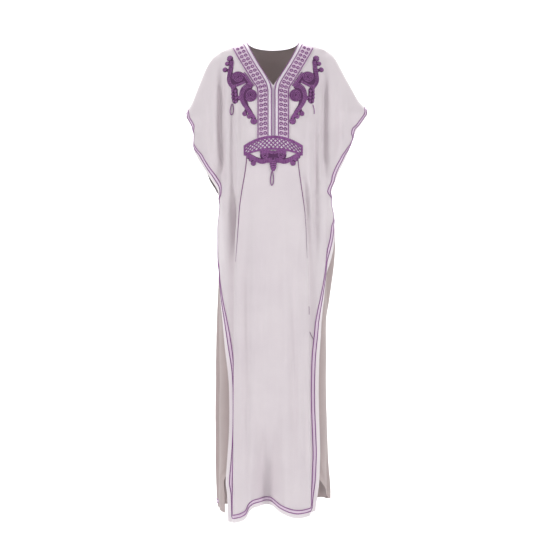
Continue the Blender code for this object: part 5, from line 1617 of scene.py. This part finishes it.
def make_looks():
    weave, plies = weave_group(), ply_group()
    return {
        "front": crepe_material("crepe_front", (0.735, 0.672, 0.700), (0.690, 0.625, 0.660),
                                (0.850, 0.790, 0.815), weave),
        # The back's crepe is the front's pale cloth with a slight taupe-pink tint, painted much darker as
        # painted shade for the back panel, which hangs in shadow behind the front.
        "back": crepe_material("crepe_back_painted_shade", (0.460, 0.378, 0.372), (0.420, 0.345, 0.342),
                               (0.480, 0.395, 0.390), weave),
        "ribbon": woven_material("ribbon_satin", (0.800, 0.660, 0.790), (0.740, 0.590, 0.730), 0.5, weave,
                                 5200.0, 500.0),
        "band": woven_material("band_satin", (0.730, 0.590, 0.710), (0.670, 0.530, 0.650), 0.45, weave,
                               4200.0, 600.0),
        "lattice_ground": woven_material("lattice_ground", (0.900, 0.840, 0.890), (0.850, 0.780, 0.840), 0.45,
                                          weave, 4200.0, 600.0),
        "satin": woven_material("white_satin", (0.790, 0.720, 0.790), (0.730, 0.660, 0.730), 0.35, weave,
                                6200.0, 400.0, 0.1),
        "placket": woven_material("placket_cloth", (0.520, 0.430, 0.530), (0.440, 0.350, 0.450), 0.6, weave,
                                  3600.0, 700.0),
        "cord": cord_material("purple_cord", (0.310, 0.105, 0.325), (0.250, 0.076, 0.268), 0.5, plies),
        "piping": cord_material("seam_piping", (0.300, 0.160, 0.290), (0.250, 0.120, 0.240), 0.6, plies, 0.1),
        "thread": cord_material("stitch_thread", (0.780, 0.640, 0.760), (0.700, 0.560, 0.690), 0.5, plies,
                                0.1),
        "felt": woven_material("scroll_felt", (0.120, 0.034, 0.125), (0.090, 0.026, 0.095), 0.8, weave,
                               2600.0, 900.0, 0.3),
    }


def finish_piece(piece, slot, *nodes):
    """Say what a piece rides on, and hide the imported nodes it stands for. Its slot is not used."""
    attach(piece, "root")
    if nodes:
        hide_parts(*nodes)
    return piece


def plain_material(name, colour, roughness):
    """One colour, a little uneven."""
    material, shader, w = new_material(name, roughness)
    place = w.node("ShaderNodeTexCoord").outputs["Object"]
    tone = w.mix(w.noise(place, 3.0), colour, tuple(c * 0.985 for c in colour))
    w.put(shader.inputs["Base Color"], tone)
    return material


def add_stage():
    """A plain pale floor that sweeps up into a backdrop."""
    back, radius, height, front, width = 3.2, 1.2, 6.0, -7.0, 9.0
    profile = [(front, FLOOR)]
    for k in range(25):
        angle = math.pi / 2 * k / 24
        profile.append((back - radius + radius * math.sin(angle), FLOOR + radius * (1 - math.cos(angle))))
    profile.append((back, FLOOR + height))
    vertices = [(x, y, z) for y, z in profile for x in (-width, width)]
    faces = [(2 * k, 2 * k + 1, 2 * k + 3, 2 * k + 2) for k in range(len(profile) - 1)]
    mesh = bpy.data.meshes.new("studio_floor")
    mesh.from_pydata(vertices, [], faces)
    mesh.shade_smooth()
    mesh.materials.append(plain_material("pale_floor", (0.93, 0.93, 0.935), 0.9))
    floor = bpy.data.objects.new("studio_floor", mesh)
    bpy.context.scene.collection.objects.link(floor)


def add_light(name, place, size, energy, target=(0.0, 0.0, -0.65)):
    """A soft white lamp that points at its target."""
    lamp = bpy.data.lights.new(name, "AREA")
    lamp.shape = "RECTANGLE"
    lamp.size, lamp.size_y = size
    lamp.energy = energy
    thing = bpy.data.objects.new(name, lamp)
    thing.location = place
    thing.rotation_euler = (Vector(target) - Vector(place)).to_track_quat("-Z", "Y").to_euler()
    bpy.context.scene.collection.objects.link(thing)


def add_studio():
    """The camera in front, four lamps and an even white sky."""
    lens = bpy.data.cameras.new("camera")
    lens.sensor_width = 36.0
    lens.lens = 18.0 / math.tan(math.radians(SIGHT) / 2)
    camera = bpy.data.objects.new("camera", lens)
    camera.location = EYE
    camera.rotation_euler = (math.pi / 2, 0.0, 0.0)
    bpy.context.scene.collection.objects.link(camera)
    bpy.context.scene.camera = camera
    add_light("key_light", (-2.6, -1.9, 0.9), (0.8, 1.8), 44)
    add_light("fill_light", (2.6, -2.0, 0.6), (0.8, 1.8), 40)
    add_light("front_light", (0.0, -4.5, 0.5), (2.2, 1.6), 22)
    add_light("back_light", (0.0, 1.4, 2.4), (4.0, 2.0), 190, target=(0.0, 3.0, -0.3))
    world = bpy.data.worlds.new("studio")
    world.use_nodes = True
    world.node_tree.nodes["Background"].inputs["Color"].default_value = (1.0, 1.0, 1.0, 1.0)
    world.node_tree.nodes["Background"].inputs["Strength"].default_value = 0.34
    bpy.context.scene.world = world
    bpy.context.scene.view_settings.view_transform = "Standard"


def main():
    looks = make_looks()
    add_studio()
    add_stage()
    front, back = Cloth("front"), Cloth("back")
    face = Face(front.points + front.out * SHEET / 2)
    front_cloth = finish_piece(add_cloth(front, "front_cloth", looks["front"]), "crepe", "front_panel")
    back_cloth = finish_piece(add_cloth(back, "back_cloth", looks["back"]), "crepe", "back_panel")
    on_front = [finish_piece(add_front_ribbon(front, looks), "ribbon", "front_edge_ribbon")]
    trims = add_back_ribbons(back, looks)
    finish_piece(trims["hem"], "ribbon", "back_hem_ribbon")
    finish_piece(trims["left"], "ribbon", "back_sleeve_ribbon_left")
    finish_piece(trims["right"], "ribbon", "back_sleeve_ribbon_right")
    on_back = list(trims.values())
    for side, name in ((-1, "left"), (1, "right")):
        on_front.append(finish_piece(add_neck_band(face, side, looks), "band", f"neck_band_{name}"))
        scroll = add_scroll(f"chest_scroll_cords_{name}", face, CHEST_ROUNDS, CHEST_BARS, CHEST_COILS,
                            CHEST_BRAIDS, CHEST_KNOTS, side, looks)
        on_front.append(finish_piece(scroll, "cord", f"chest_scroll_{name}"))
    on_front.append(finish_piece(add_waist_band(face, looks), "band", "waist_band"))
    scroll = add_scroll("waist_scroll_cords", face, WAIST_ROUNDS, WAIST_BARS, WAIST_COILS, WAIST_BRAIDS,
                        WAIST_KNOTS, 0, looks, PINECONE)
    on_front.append(finish_piece(scroll, "cord", "waist_scroll"))
    for loop in LOOPS:
        on_front.append(finish_piece(add_loop(face, loop, looks), "cord", loop.name))
    on_front.append(finish_piece(add_seams(face, looks), "cord"))
    on_back.append(finish_piece(add_back_binding(back, looks), "ribbon"))


main()
